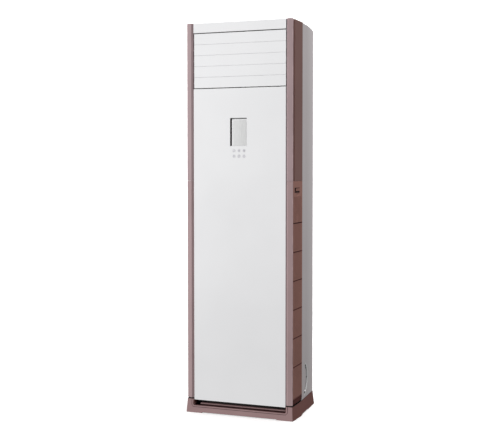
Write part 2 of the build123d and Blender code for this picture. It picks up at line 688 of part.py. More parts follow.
# ---------------------------------------------------------------- inner frame
# Two steel columns behind the pillars carry the front; they stand on the plinth.
column_front_y = panel_back_y
column_depth = 26.0
column_half = half_pillar - 12.0
column_flange = 33.0
floor_top = outlet_bottom - 3.0            # low enough for the last louvre to turn
floor_bottom = floor_top - sheet
with BuildPart() as front_columns:
    for side in (-1, 1):
        with BuildSketch(Plane.XY.offset(base_height)) as angle:
            with Locations((side * (column_half - column_flange / 2), column_front_y + sheet / 2)):
                Rectangle(column_flange, sheet)
            with Locations((side * (column_half - sheet / 2), column_front_y + column_depth / 2)):
                Rectangle(sheet, column_depth)
        extrude(angle.sketch, amount=floor_bottom - base_height)
finish(front_columns, "front_columns")

# Folded divider: floor of the coil chamber, bulkhead, and the shelf that closes the
# intake side at the seam.
volute_front_y = front_y + volute_inset
volute_rear_y = rear_y - pipe_space
volute_top = seam_height - volute_drop
fan_height = volute_top - fan_drop
divider_half = half_case - side_flange - 2.0
divider_rear_y = panel_plane_y - case_sheet - 4.0
gas_radius = 7.94
liquid_radius = 4.76
hose_radius = 7.0
plate_half = divider_half - 4.0
scroll_right = plate_half - scroll_side_gap
scroll_radii = [scroll_right - scroll_growth * (3 - k) for k in range(3)]
scroll_start = scroll_radii[0]
wheel_radius = scroll_start - scroll_gap
foam_wall = 16.0
duct_half = column_half - sheet - 0.5
coil_width = 2 * (duct_half - foam_wall - coil_side_gap)
pipe_x = coil_width / 2 + 13.0
gas_place = (pipe_x, volute_rear_y + 18.0)
liquid_place = (pipe_x, volute_rear_y + 37.0)
hose_place = (-pipe_x + 8.0, volute_rear_y + 22.0)
tongue_angle = radians(70)
tongue = (scroll_start * cos(tongue_angle), scroll_start * sin(tongue_angle))
chamber_floor = volute_top + sheet
with BuildPart() as duct_divider:
    bent_sheet(Plane.YZ.offset(-divider_half),
               [(column_front_y + 2 * sheet, seam_height), (volute_front_y - sheet, seam_height),
                (volute_front_y - sheet, volute_top), (divider_rear_y, volute_top)], sheet, 2 * divider_half)
    block((tongue[0] + 3, scroll_right - 3), (volute_front_y + 86, volute_rear_y - 2),
          (volute_top - 5, volute_top + 5), mode=Mode.SUBTRACT)
    for side in (-1, 1):
        block((side * half_case, side * (column_half - column_flange - 1)),
              (front_y, column_front_y + column_depth + 1), (seam_height - 5, seam_height + 5),
              mode=Mode.SUBTRACT)
    for (x, y), r in ((gas_place, gas_radius), (liquid_place, liquid_radius), (hose_place, hose_radius)):
        with Locations((x, y, chamber_floor)):
            Hole(r + 1.0, depth=5)
finish(duct_divider, "duct_divider")

# Insulated front of the air duct, folded back as the floor under the vanes.
vane_y = front_y + vane_pivot_depth
floor_back_y = vane_y + 16.0
side_plate_x = half_front + 3.5
side_plate_wall = 2.0
vane_xs = [vane_pitch * (i - (vane_count - 1) / 2) for i in range(vane_count)]
with BuildPart() as duct_front:
    block((-duct_half, duct_half), (column_front_y + sheet, column_front_y + 2 * sheet),
          (seam_height + sheet, floor_top))
    block((-side_plate_x - side_plate_wall, side_plate_x + side_plate_wall),
          (bevel_y + 3, floor_back_y), (floor_bottom, floor_top))
    with Locations(*[(x, vane_y, floor_top) for x in vane_xs]):
        Hole(pin_radius + running, depth=5)
finish(duct_front, "duct_front")

# Polystyrene liners on both sides of the coil chamber.
with BuildPart() as duct_foam:
    for side in (-1, 1):
        with BuildSketch(Plane.YZ.offset(side * duct_half)) as liner:
            Polygon((volute_front_y + 1, chamber_floor), (divider_rear_y, chamber_floor),
                    (divider_rear_y, floor_bottom), (column_front_y + 2 * sheet + 1, floor_bottom),
                    (column_front_y + 2 * sheet + 1, seam_height + sheet + 1),
                    (volute_front_y + 1, seam_height + sheet + 1), align=None)
        extrude(liner.sketch, amount=-side * foam_wall)
    for side in (-1, 1):
        block((side * duct_half, side * (duct_half - foam_wall)), (floor_back_y + 2, divider_rear_y),
              (floor_bottom - 1, floor_bottom), mode=Mode.SUBTRACT)
finish(duct_foam, "duct_foam")

# ---------------------------------------------------------------- air outlet
pivot_y = face_y + louver_pivot_depth
roof_bottom = outlet_top - 1.0
louver_levels = [outlet_top - louver_pitch * (i + 0.5) for i in range(louver_count)]
louver_left = -half_front + louver_left_gap
louver_right = half_front - louver_right_gap
lug_wall = 4.0
crank_x = side_plate_x + side_plate_wall + 1.0
link_x = crank_x + arm_thick + 0.5
blade_half = louver_pitch / 2 - louver_gap / 2
driven_louver = louver_count // 2
driven_vane = vane_count // 2
plate_back_y = vane_y + 44.0

with BuildPart() as outlet_sides:
    for side in (-1, 1):
        with BuildSketch(Plane.YZ.offset(side * side_plate_x)) as plate:
            with BuildLine():
                Polyline((bevel_y + 3, floor_top), (bevel_y + 3, roof_bottom), (plate_back_y, roof_bottom),
                         (plate_back_y, floor_top + 30), (plate_back_y - 30, floor_top), close=True)
            make_face()
            with Locations(*[(pivot_y, z) for z in louver_levels]):
                Circle(pin_radius + running, mode=Mode.SUBTRACT)
        extrude(plate.sketch, amount=side * side_plate_wall)
finish(outlet_sides, "outlet_sides")

with BuildPart() as outlet_roof:
    block((-side_plate_x - side_plate_wall, side_plate_x + side_plate_wall),
          (pivot_y - 1, plate_back_y), (roof_bottom, roof_bottom + sheet))
    with Locations(*[(x, vane_y, roof_bottom + sheet) for x in vane_xs]):
        Hole(pin_radius + running, depth=5)
finish(outlet_roof, "outlet_roof")

# Louvre: a flush blade with stiffening ribs, two end lugs, two pins and a crank. Its long
# edges slant, so that neighbours lap; the last one ends square, above the front panel.
louver_back_y = face_y + louver_thick
for i, z in enumerate(louver_levels):
    last_lap = 0.0 if i == louver_count - 1 else louver_lap
    with BuildPart() as louver:
        with BuildSketch(Plane.YZ.offset(louver_left)) as blade:
            Polygon((face_y, z - blade_half), (face_y, z + blade_half),
                    (louver_back_y, z + blade_half - louver_lap),
                    (louver_back_y, z - blade_half - last_lap), align=None)
            fillet(blade.vertices(), radius=0.6)
            with Locations((louver_back_y + 1.5, z + 8), (louver_back_y + 1.5, z - 8)):
                Rectangle(4, 2)
        extrude(blade.sketch, amount=louver_right - louver_left)
        left_pin = -side_plate_x - 3.0
        if i == driven_louver:
            left_pin -= motor_length - 4.0
        for side, end, pin_end in ((-1, louver_left, left_pin), (1, louver_right, crank_x + 1.0)):
            with BuildSketch(Plane.YZ.offset(end)) as lug:
                Polygon((louver_back_y - 1, z - 13), (pivot_y + 4, z - 4), (pivot_y + 4, z + 4),
                        (louver_back_y - 1, z + 13), align=None)
            extrude(lug.sketch, amount=-side * lug_wall)
            with BuildSketch(Plane.YZ.offset(end)) as pin:
                with Locations((pivot_y, z)):
                    Circle(pin_radius)
            extrude(pin.sketch, amount=pin_end - end)
        with BuildSketch(Plane.YZ.offset(crank_x)) as crank:
            with Locations((pivot_y + crank_radius / 2, z)):
                SlotCenterToCenter(crank_radius, 9)
        extrude(crank.sketch, amount=arm_thick)
        with BuildSketch(Plane.YZ.offset(crank_x + arm_thick)) as crank_pin:
            with Locations((pivot_y + crank_radius, z)):
                Circle(crank_pin_radius)
        extrude(crank_pin.sketch, amount=arm_thick + 1.0)
    finish(louver, f"louver_{i + 1}")

with BuildPart() as louver_link:
    with BuildSketch(Plane.YZ.offset(link_x)) as bar:
        with Locations((pivot_y + crank_radius, (louver_levels[0] + louver_levels[-1]) / 2)):
            SlotOverall(louver_levels[0] - louver_levels[-1] + 12, 9, rotation=90)
        with Locations(*[(pivot_y + crank_radius, z) for z in louver_levels]):
            Circle(crank_pin_radius + running, mode=Mode.SUBTRACT)
    extrude(bar.sketch, amount=arm_thick)
finish(louver_link, "louver_link")

motor_offset = 8.0                         # shaft beside the middle of the geared motor
motor_plane_x = -(side_plate_x + side_plate_wall)
with BuildPart() as louver_motor:
    with BuildSketch(Plane.YZ.offset(motor_plane_x)) as can:
        with Locations((pivot_y + motor_offset, louver_levels[driven_louver])):
            Circle(motor_radius)
            SlotCenterToCenter(2 * motor_radius + 7, 7, rotation=90)
        with Locations((pivot_y, louver_levels[driven_louver])):
            Circle(pin_radius + running, mode=Mode.SUBTRACT)
    extrude(can.sketch, amount=-motor_length)
    block((motor_plane_x - 1, motor_plane_x - motor_length - 1),
          (pivot_y - 20, pivot_y + 40),
          (louver_levels[driven_louver] + motor_radius, louver_levels[driven_louver] + 40),
          mode=Mode.SUBTRACT)
    block((motor_plane_x - 1, motor_plane_x - motor_length - 1),
          (pivot_y - 20, pivot_y + 40),
          (louver_levels[driven_louver] - motor_radius, louver_levels[driven_louver] - 40),
          mode=Mode.SUBTRACT)
finish(louver_motor, "louver_motor")

# Upright vanes, linked by a bar under the roof.
vane_bottom = floor_top + 5.0
vane_top = roof_bottom - 8.0
bar_wall = 2.5
for i, x in enumerate(vane_xs):
    with BuildPart() as vane:
        with BuildSketch(Plane.XY.offset(vane_bottom)) as section:
            with BuildLine():
                ThreePointArc((x, vane_y - vane_chord / 2), (x + vane_thick / 2, vane_y),
                              (x, vane_y + vane_chord / 2))
                ThreePointArc((x, vane_y + vane_chord / 2), (x - vane_thick / 2, vane_y),
                              (x, vane_y - vane_chord / 2))
            make_face()
            with Locations((x, vane_y)):
                Circle(pin_radius + 1)
            with Locations((x, vane_y + vane_crank)):
                Circle(crank_pin_radius)
        extrude(section.sketch, amount=vane_top - vane_bottom)
        reach = motor_length if i == driven_vane else 3.0
        with BuildSketch(Plane.XY.offset(floor_bottom - 0.5)) as long_pin:
            with Locations((x, vane_y)):
                Circle(pin_radius)
        extrude(long_pin.sketch, amount=roof_bottom + sheet + reach - 2 - floor_bottom)
        with BuildSketch(Plane.XY.offset(vane_top)) as nub:
            with Locations((x, vane_y + vane_crank)):
                Circle(crank_pin_radius)
        extrude(nub.sketch, amount=bar_wall + 2.5)
    finish(vane, f"vane_{i + 1}")

with BuildPart() as vane_link:
    with BuildSketch(Plane.XY.offset(vane_top + 1)) as bar:
        with Locations((0, vane_y + vane_crank)):
            SlotOverall(vane_xs[-1] - vane_xs[0] + 12, 9)
        with Locations(*[(x, vane_y + vane_crank) for x in vane_xs]):
            Circle(crank_pin_radius + running, mode=Mode.SUBTRACT)
    extrude(bar.sketch, amount=bar_wall)
finish(vane_link, "vane_link")

with BuildPart() as vane_motor:
    with BuildSketch(Plane.XY.offset(roof_bottom + sheet)) as can:
        with Locations((vane_xs[driven_vane] + motor_offset, vane_y)):
            Circle(motor_radius)
        with Locations((vane_xs[driven_vane], vane_y)):
            Circle(pin_radius + running, mode=Mode.SUBTRACT)
    extrude(can.sketch, amount=motor_length)
finish(vane_motor, "vane_motor")

# ---------------------------------------------------------------- fan
def scroll_line():
    """Inside line of the volute, seen from the front: three growing arcs and a straight outlet."""
    centres = [(0, 0), (scroll_growth, 0), (scroll_growth, scroll_growth)]
    top = volute_top - fan_height
    Line((scroll_right, top), (tongue[0], top))
    Line((tongue[0], top), tongue)
    ThreePointArc(tongue, (scroll_start * cos(radians(80)), scroll_start * sin(radians(80))),
                  (0, scroll_start))
    for k, (cx, cz) in enumerate(centres):
        r = scroll_radii[k]
        angles = [radians(90 + 90 * k + step) for step in (0, 45, 90)]
        ThreePointArc(*[(cx + r * cos(a), cz + r * sin(a)) for a in angles])
    Line((scroll_right, scroll_growth), (scroll_right, top))


fan_plane = Plane(origin=(0, 0, fan_height), x_dir=(1, 0, 0), z_dir=(0, -1, 0))
with BuildPart() as volute_scroll:
    with BuildSketch(fan_plane.offset(-volute_front_y)) as wall:
        with BuildLine():
            scroll_line()
            offset(amount=2.0, kind=Kind.INTERSECTION)
        make_face()
        with BuildLine():
            scroll_line()
        make_face(mode=Mode.SUBTRACT)
    extrude(wall.sketch, amount=-(volute_rear_y - volute_front_y))
    block((-plate_half, plate_half), (volute_rear_y, volute_rear_y + sheet), (pan_top, volute_top))
    block((-plate_half, plate_half), (volute_front_y - 1, volute_rear_y + 2), (volute_top, volute_top + 9),
          mode=Mode.SUBTRACT)
    with BuildSketch(fan_plane.offset(-volute_rear_y + 1)) as motor_hole:
        Circle(motor_case_radius + 2)
    extrude(motor_hole.sketch, amount=-5, mode=Mode.SUBTRACT)
finish(volute_scroll, "volute_scroll")

# Front plate of the volute with its bell mouth.
mouth_lip = 20.0
eye_radius = wheel_radius - eye_inset
with BuildPart() as volute_front:
    block((-plate_half, plate_half), (volute_front_y - sheet, volute_front_y), (pan_top, volute_top))
    with BuildSketch(fan_plane.offset(-volute_front_y + 5)) as eye:
        Circle(eye_radius + 12)
    extrude(eye.sketch, amount=-10, mode=Mode.SUBTRACT)
    with BuildSketch(Plane(origin=(0, 0, fan_height), x_dir=(1, 0, 0), z_dir=(0, 0, 1))) as mouth:
        with BuildLine():
            Line((eye_radius, volute_front_y + mouth_lip), (eye_radius, volute_front_y + 8))
            ThreePointArc((eye_radius, volute_front_y + 8), (eye_radius + 3.2, volute_front_y + 1.4),
                          (eye_radius + 12.1, volute_front_y - sheet))
            Line((eye_radius + 12.1, volute_front_y - sheet), (eye_radius + 12.1, volute_front_y))
            ThreePointArc((eye_radius + 12.1, volute_front_y), (eye_radius + 4.6, volute_front_y + 2.6),
                          (eye_radius + 1.6, volute_front_y + 9))
            Line((eye_radius + 1.6, volute_front_y + 9), (eye_radius + 1.6, volute_front_y + mouth_lip))
            Line((eye_radius + 1.6, volute_front_y + mouth_lip), (eye_radius, volute_front_y + mouth_lip))
        make_face()
    revolve(mouth.sketch, axis=Axis((0, 0, fan_height), (0, 1, 0)))
finish(volute_front, "volute_front")

# Forward-curved centrifugal wheel: rings at both ends, a disc and a hub.
wheel_front_y = volute_front_y + 18.5
wheel_rear_y = volute_rear_y - 15.0
wheel_depth = wheel_rear_y - wheel_front_y
ring_wall = 4.0
disc_y = wheel_front_y + 0.54 * wheel_depth
disc_wall = 3.0
hub_front_y = disc_y - 12.0
motor_front_y = disc_y + 22.0
blade_root = wheel_radius - blade_depth
with BuildSketch() as blade:
    with BuildLine():
        ThreePointArc((blade_root, 0),
                      ((blade_root + wheel_radius) / 2 * cos(radians(-2.2)),
                       (blade_root + wheel_radius) / 2 * sin(radians(-2.2))),
                      (wheel_radius * cos(radians(4)), wheel_radius * sin(radians(4))))
        offset(amount=blade_thick, side=Side.LEFT)
    make_face()

with BuildPart() as fan_wheel:
    with BuildSketch(fan_plane.offset(-wheel_front_y)) as blades:
        with PolarLocations(0, blade_count):
            add(blade.sketch)
    extrude(blades.sketch, amount=-wheel_depth)
    for y, inner, wall in ((wheel_front_y, blade_root + 14, ring_wall),
                           (wheel_rear_y - ring_wall, blade_root + 14, ring_wall),
                           (disc_y, hub_radius - 2, disc_wall)):
        with BuildSketch(fan_plane.offset(-y)) as ring:
            Circle(wheel_radius + 2)
            Circle(inner, mode=Mode.SUBTRACT)
        extrude(ring.sketch, amount=-wall)
    with BuildSketch(fan_plane.offset(-hub_front_y)) as hub:
        Circle(hub_radius)
    extrude(hub.sketch, amount=-(motor_front_y - 2 - hub_front_y))
    with BuildSketch(fan_plane.offset(-hub_front_y + 1)) as bore:
        Circle(shaft_radius + running)
    extrude(bore.sketch, amount=-80, mode=Mode.SUBTRACT)
finish(fan_wheel, "fan_wheel")

motor_rear_y = volute_rear_y + 36.0
with BuildPart() as fan_motor:
    with BuildSketch(fan_plane.offset(-motor_front_y)) as case:
        Circle(motor_case_radius)
    extrude(case.sketch, amount=-(motor_rear_y - motor_front_y))
    fillet(fan_motor.edges().filter_by(GeomType.CIRCLE), radius=6)
    with BuildSketch(fan_plane.offset(-volute_rear_y - sheet)) as flange:
        Circle(motor_case_radius + 20)
    extrude(flange.sketch, amount=-3)
    with BuildSketch(fan_plane.offset(-motor_front_y + 1)) as shaft_hole:
        Circle(shaft_radius + running)
    extrude(shaft_hole.sketch, amount=-(motor_rear_y - motor_front_y - 8), mode=Mode.SUBTRACT)
finish(fan_motor, "fan_motor")

with BuildPart() as motor_shaft:
    with BuildSketch(fan_plane.offset(-hub_front_y + 14)) as rod:
        Circle(shaft_radius)
    extrude(rod.sketch, amount=-(motor_rear_y - hub_front_y + 14 - 9))
    with BuildSketch(fan_plane.offset(-hub_front_y + 10)) as nut:
        RegularPolygon(10, 6)
    extrude(nut.sketch, amount=-(10 - seat_gap))
    chamfer(motor_shaft.edges().filter_by(GeomType.CIRCLE).sort_by(Axis.Y)[0], length=1)
finish(motor_shaft, "motor_shaft")

# ---------------------------------------------------------------- cooling coil
coil_y = volute_front_y + 51.5
coil_z = chamber_floor + 7.0
coil_rise = floor_bottom - coil_head_gap - coil_z
coil_run = divider_rear_y - coil_rear_gap - coil_y
coil_length = hypot(coil_rise, coil_run)
lean = atan2(coil_run, coil_rise)
coil_plane = Plane(origin=(0, coil_y, coil_z), x_dir=(1, 0, 0), z_dir=(0, sin(lean), cos(lean)))
fin_groups = 24
end_wall = 1.5
end_face_x = coil_width / 2 + end_wall
with BuildPart() as coil_fins:
    with BuildSketch(coil_plane) as pack:
        Rectangle(coil_width, coil_thick)
        with GridLocations(coil_width / fin_groups, coil_thick, fin_groups - 1, 2):
            Rectangle(2.0, 8.0, mode=Mode.SUBTRACT)
    extrude(pack.sketch, amount=coil_length)
finish(coil_fins, "coil_fins")

with BuildPart() as coil_end_plates:
    for side in (-1, 1):
        with BuildSketch(coil_plane) as plate:
            with Locations((side * (coil_width + end_wall) / 2, 0)):
                Rectangle(end_wall, coil_thick + 4)
        extrude(plate.sketch, amount=coil_length)
finish(coil_end_plates, "coil_end_plates")

# Return bends of the tubes, outside the end plates.
bend_radius = 12.0
bend_start = 120.0
bend_count = int((coil_length - bend_start) / tube_pitch) - 1
gas_level = 50.0
liquid_level = 90.0


def coil_point(x, level):
    """A point in the coil's middle plane, at a distance up its slope."""
    return (x, coil_y + level * sin(lean), coil_z + level * cos(lean))


with BuildPart() as coil_tubes:
    for side in (-1, 1):
        for k in range(bend_count):
            middle = Vector(*coil_point(side * end_face_x, bend_start + tube_pitch * (k + (side + 1) / 4)))
            with BuildSketch(Plane(origin=middle, x_dir=coil_plane.z_dir, z_dir=(side, 0, 0))) as tube:
                with Locations((bend_radius, 0)):
                    Circle(tube_radius)
            revolve(tube.sketch, axis=Axis(middle, coil_plane.y_dir), revolution_arc=side * 180)
finish(coil_tubes, "coil_tubes")

# Drain pan under the coil and its hose to the back.
pan_wall = 2.0
drain_half = coil_width / 2 + 20.0
drain_front_y = coil_y - 46.0
drain_back_y = coil_y + 32.0
drain_depth = 42.0
with BuildPart() as drain_pan:
    block((-drain_half, drain_half), (drain_front_y, drain_back_y),
          (chamber_floor + seat_gap, chamber_floor + drain_depth))
    block((-drain_half + pan_wall, drain_half - pan_wall),
          (drain_front_y + pan_wall, drain_back_y - pan_wall),
          (chamber_floor + seat_gap + pan_wall, chamber_floor + drain_depth + 1), mode=Mode.SUBTRACT)
finish(drain_pan, "drain_pan")


def tube_along(points, bend, radius):
    """A round tube along straight runs joined by tangent arcs."""
    with BuildLine() as route:
        FilletPolyline(*points, radius=bend)
    first = route.line @ 0
    with BuildSketch(Plane(origin=first, z_dir=route.line % 0)) as end:
        Circle(radius)
    sweep(end.sketch, path=route.line)


hose_z = chamber_floor + 12.0
with BuildPart() as drain_hose:
    tube_along([(hose_place[0], drain_back_y, hose_z), (hose_place[0], hose_place[1], hose_z),
                (hose_place[0], hose_place[1], 120)], hose_radius + 5, hose_radius)
finish(drain_hose, "drain_hose")

# Copper gas and liquid pipes with their flare nuts.
with BuildPart() as refrigerant_pipes:
    for (x, y), level, radius, end_z, flats in ((gas_place, gas_level, gas_radius, 190.0, 27.0),
                                                (liquid_place, liquid_level, liquid_radius, 250.0, 17.0)):
        start = coil_point(end_face_x, level)
        tube_along([start, (x, start[1], start[2]), (x, y, start[2]), (x, y, end_z)],
                   x - end_face_x - 1, radius)
        with BuildSketch(Plane.XY.offset(end_z)) as nut:
            with Locations((x, y)):
                RegularPolygon(flats / 2, 6, major_radius=False)
        extrude(nut.sketch, amount=-22)
finish(refrigerant_pipes, "refrigerant_pipes")

# ---------------------------------------------------------------- electrics
box_half = 150.0
box_front_y = column_front_y + 8.0
box_back_y = volute_front_y - 14.0
box_bottom = volute_top + 90.0
box_top = seam_height - seat_gap
with BuildPart() as electric_box:
    block((-box_half, box_half), (box_front_y, box_back_y), (box_bottom, box_top))
    block((-box_half + case_sheet, box_half - case_sheet), (box_front_y - 1, box_back_y - case_sheet),
          (box_bottom + case_sheet, box_top - case_sheet), mode=Mode.SUBTRACT)
    for x in (-box_half + 24, box_half - 24):
        for z in (box_bottom + 24, box_top - 24):
            block((x - 3, x + 3), (box_back_y - 7, box_back_y - 1), (z - 3, z + 3))
finish(electric_box, "electric_box")

board_front_y = box_back_y - 7 - board_wall
with BuildPart() as main_board:
    block((-box_half + 15, box_half - 15), (board_front_y, board_front_y + board_wall),
          (box_bottom + 15, box_top - 15))
    block((-118, -70), (board_front_y - 26, board_front_y + 0.5), (box_bottom + 30, box_bottom + 72))
    block((40, 120), (board_front_y - 16, board_front_y + 0.5), (box_bottom + 22, box_bottom + 44))
    with BuildSketch(Plane.XZ.offset(-board_front_y)) as cans:
        with Locations((-20, box_bottom + 60), (8, box_bottom + 60)):
            Circle(11)
        with Locations((90, box_top - 45)):
            Circle(16)
    extrude(cans.sketch, amount=30)
finish(main_board, "main_board")
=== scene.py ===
import math

import bmesh
import bpy
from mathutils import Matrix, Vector


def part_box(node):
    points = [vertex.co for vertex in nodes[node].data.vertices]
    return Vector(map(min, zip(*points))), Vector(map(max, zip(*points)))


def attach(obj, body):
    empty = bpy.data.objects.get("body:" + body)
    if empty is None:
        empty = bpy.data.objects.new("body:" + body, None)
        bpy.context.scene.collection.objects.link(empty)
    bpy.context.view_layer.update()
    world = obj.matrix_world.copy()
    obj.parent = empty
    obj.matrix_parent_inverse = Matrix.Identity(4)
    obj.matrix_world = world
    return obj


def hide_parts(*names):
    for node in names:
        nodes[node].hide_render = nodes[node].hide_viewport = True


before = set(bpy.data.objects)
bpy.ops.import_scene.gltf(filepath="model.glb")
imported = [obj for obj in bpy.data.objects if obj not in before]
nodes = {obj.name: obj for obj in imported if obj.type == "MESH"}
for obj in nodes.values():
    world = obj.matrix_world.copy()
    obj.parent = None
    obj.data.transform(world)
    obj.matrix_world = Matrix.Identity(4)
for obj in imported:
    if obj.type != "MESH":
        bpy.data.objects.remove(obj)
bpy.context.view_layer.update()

# ---------------------------------------------------------------- camera
# The photographer stood in front and to the right, a little above the middle of the
# cabinet, with a normal lens, far enough away for nearly upright edges.
camera_data = bpy.data.cameras.new("studio_camera")
camera_data.lens = 63.65
camera_data.sensor_width = 36.0
camera_data.shift_y = -0.03
camera = bpy.data.objects.new("studio_camera", camera_data)
camera.location = (1.3226, -3.8771, 1.1139)
tilt_down, turn_left = 2.263, 18.855
camera.rotation_euler = (math.radians(90.0 - tilt_down), 0.0, math.radians(turn_left))
bpy.context.scene.collection.objects.link(camera)
bpy.context.scene.camera = camera

# ---------------------------------------------------------------- studio
# A sweep of white paper under and behind the cabinet, with its own lamps overhead. A large
# soft box far to the left lights the front. Two small ones, above and to the right, fill
# the cap and the side, and the white room does the rest.
bpy.context.scene.view_settings.view_transform = "Standard"
world = bpy.data.worlds.new("white_room")
world.use_nodes = True
world.node_tree.nodes["Background"].inputs["Color"].default_value = (1.0, 1.0, 1.0, 1.0)
world.node_tree.nodes["Background"].inputs["Strength"].default_value = 0.20
bpy.context.scene.world = world


def soft_box(name, place, target, width, height, watts):
    """A rectangular soft box aimed at a point of the cabinet."""
    data = bpy.data.lights.new(name, "AREA")
    data.shape = "RECTANGLE"
    data.size = width
    data.size_y = height
    data.energy = watts
    lamp = bpy.data.objects.new(name, data)
    lamp.location = place
    lamp.rotation_euler = (Vector(target) - Vector(place)).to_track_quat("-Z", "Y").to_euler()
    bpy.context.scene.collection.objects.link(lamp)


soft_box("front_box", (-5.2, -6.2, 1.6), (0.0, 0.0, 0.8), width=2.4, height=2.4, watts=465.0)
soft_box("top_box", (0.8, -4.2, 4.6), (0.0, 0.0, 0.9), width=1.6, height=1.6, watts=40.0)
soft_box("side_box", (3.3, -2.2, 3.0), (0.0, 0.0, 1.3), width=1.6, height=1.6, watts=36.0)
soft_box("paper_box", (0.0, 1.2, 5.0), (0.0, 3.0, 0.6), width=6.0, height=1.5, watts=220.0)


def paper_sweep():
    """Floor paper that curves up into the backdrop."""
    bend_start, bend_radius = 2.4, 1.6
    wall = bend_start + bend_radius
    line = [(-9.0, 0.0), (-4.0, 0.0), (0.0, 0.0), (bend_start, 0.0)]
    line += [(bend_start + bend_radius * math.sin(math.radians(a)),
              bend_radius - bend_radius * math.cos(math.radians(a))) for a in range(10, 91, 10)]
    line += [(wall, 4.0), (wall, 7.5)]
    across = (-9.0, -4.0, 4.0, 9.0)
    points = [(x, y, z) for y, z in line for x in across]
    wide = len(across)
    faces = [(r * wide + c, r * wide + c + 1, (r + 1) * wide + c + 1, (r + 1) * wide + c)
             for r in range(len(line) - 1) for c in range(wide - 1)]
    mesh = bpy.data.meshes.new("paper_sweep")
    mesh.from_pydata(points, [], faces)
    for face in mesh.polygons:
        face.use_smooth = True
    return mesh


paper = bpy.data.objects.new("paper_sweep", paper_sweep())
bpy.context.scene.collection.objects.link(paper)
paper.visible_diffuse = False
paper.visible_glossy = False
paper_white = bpy.data.materials.new("paper_white")
paper_white.use_nodes = True
paper_shader = paper_white.node_tree.nodes["Principled BSDF"]
paper_shader.inputs["Base Color"].default_value = (0.92, 0.92, 0.92, 1.0)
paper_shader.inputs["Roughness"].default_value = 0.95
paper_shader.inputs["Emission Color"].default_value = (1.0, 1.0, 1.0, 1.0)
paper_shader.inputs["Emission Strength"].default_value = 0.45
paper.data.materials.append(paper_white)


# ---------------------------------------------------------------- plinth
# One moulding of rose-brown plastic with a fine spark-eroded grain, drafted to the foot.
# It stands on four feet and carries everything else. Painted shade lies in its groove,
# behind its sill, in the engraved line and in the joint under the pillars, and a deeper
# painted shade lies on its flanks.
def new_finish(name, roughness, metallic=0.0):
    """A finish with its shader ready: the material, its node tree and the shader."""
    material = bpy.data.materials.new(name)
    material.use_nodes = True
    shader = material.node_tree.nodes["Principled BSDF"]
    shader.inputs["Roughness"].default_value = roughness
    shader.inputs["Metallic"].default_value = metallic
    return material, material.node_tree, shader


def piece_place(tree, stretch=(1.0, 1.0, 1.0)):
    """The cabinet's own coordinates in metres, squeezed along each axis."""
    place = tree.nodes.new("ShaderNodeTexCoord")
    squeeze = tree.nodes.new("ShaderNodeMapping")
    squeeze.inputs["Scale"].default_value = stretch
    tree.links.new(place.outputs["Object"], squeeze.inputs["Vector"])
    return squeeze.outputs["Vector"]


def grain(tree, per_metre, detail=3.0, stretch=(1.0, 1.0, 1.0)):
    """An even cloudy grain of so many grains to the metre."""
    noise = tree.nodes.new("ShaderNodeTexNoise")
    noise.inputs["Scale"].default_value = per_metre
    noise.inputs["Detail"].default_value = detail
    tree.links.new(piece_place(tree, stretch), noise.inputs["Vector"])
    return noise.outputs["Fac"]


def tone(tree, factor, dark, light, start=0.35, end=0.65):
    """A colour that runs from dark to light while the factor runs from start to end."""
    ramp = tree.nodes.new("ShaderNodeValToRGB")
    ramp.color_ramp.elements[0].position = start
    ramp.color_ramp.elements[0].color = (*dark, 1.0)
    ramp.color_ramp.elements[1].position = end
    ramp.color_ramp.elements[1].color = (*light, 1.0)
    tree.links.new(factor, ramp.inputs["Fac"])
    return ramp.outputs["Color"]


def level(tree, factor, low, high, start=0.35, end=0.65):
    """A number that runs from low to high while the factor runs from start to end."""
    ranged = tree.nodes.new("ShaderNodeMapRange")
    ranged.inputs["From Min"].default_value = start
    ranged.inputs["From Max"].default_value = end
    ranged.inputs["To Min"].default_value = low
    ranged.inputs["To Max"].default_value = high
    tree.links.new(factor, ranged.inputs["Value"])
    return ranged.outputs["Result"]


def rises(tree, distance, start, end):
    """A mask that goes from 0 to 1 while the distance goes from start to end."""
    return level(tree, distance, 0.0, 1.0, start, end)


def falls(tree, distance, start, end):
    """A mask that goes from 1 to 0 while the distance goes from start to end."""
    return level(tree, distance, 1.0, 0.0, start, end)


def reckon(tree, operation, *numbers):
    """The result of a sum on sockets and plain numbers."""
    step = tree.nodes.new("ShaderNodeMath")
    step.operation = operation
    for socket, number in zip(step.inputs, numbers):
        if isinstance(number, float):
            socket.default_value = number
        else:
            tree.links.new(number, socket)
    return step.outputs["Value"]


def overlap(tree, *masks):
    """A mask that is 1 only where all of these are."""
    common = masks[0]
    for mask in masks[1:]:
        common = reckon(tree, "MULTIPLY", common, mask)
    return common


def axes(tree):
    """Distances in metres: to the side of the cabinet's middle, to the back, and up."""
    parts = tree.nodes.new("ShaderNodeSeparateXYZ")
    tree.links.new(piece_place(tree), parts.inputs["Vector"])
    return reckon(tree, "ABSOLUTE", parts.outputs["X"]), parts.outputs["Y"], parts.outputs["Z"]


def facing_sideways(tree):
    """A mask that is 1 where the surface faces left or right."""
    place = tree.nodes.new("ShaderNodeTexCoord")
    parts = tree.nodes.new("ShaderNodeSeparateXYZ")
    tree.links.new(place.outputs["Normal"], parts.inputs["Vector"])
    return rises(tree, reckon(tree, "ABSOLUTE", parts.outputs["X"]), 0.75, 0.93)


def over(tree, where, below, above):
    """One colour over another, where the mask is 1."""
    mix = tree.nodes.new("ShaderNodeMix")
    mix.data_type = "RGBA"
    mix.blend_type = "MIX"
    tree.links.new(where, mix.inputs["Factor"])
    tree.links.new(below, mix.inputs[6])
    tree.links.new(above, mix.inputs[7])
    return mix.outputs[2]


def lay_over(tree, shader, where, paint):
    """Lay another paint on the finish, where the mask is 1."""
    colour = shader.inputs["Base Color"]
    tree.links.new(over(tree, where, colour.links[0].from_socket, paint), colour)


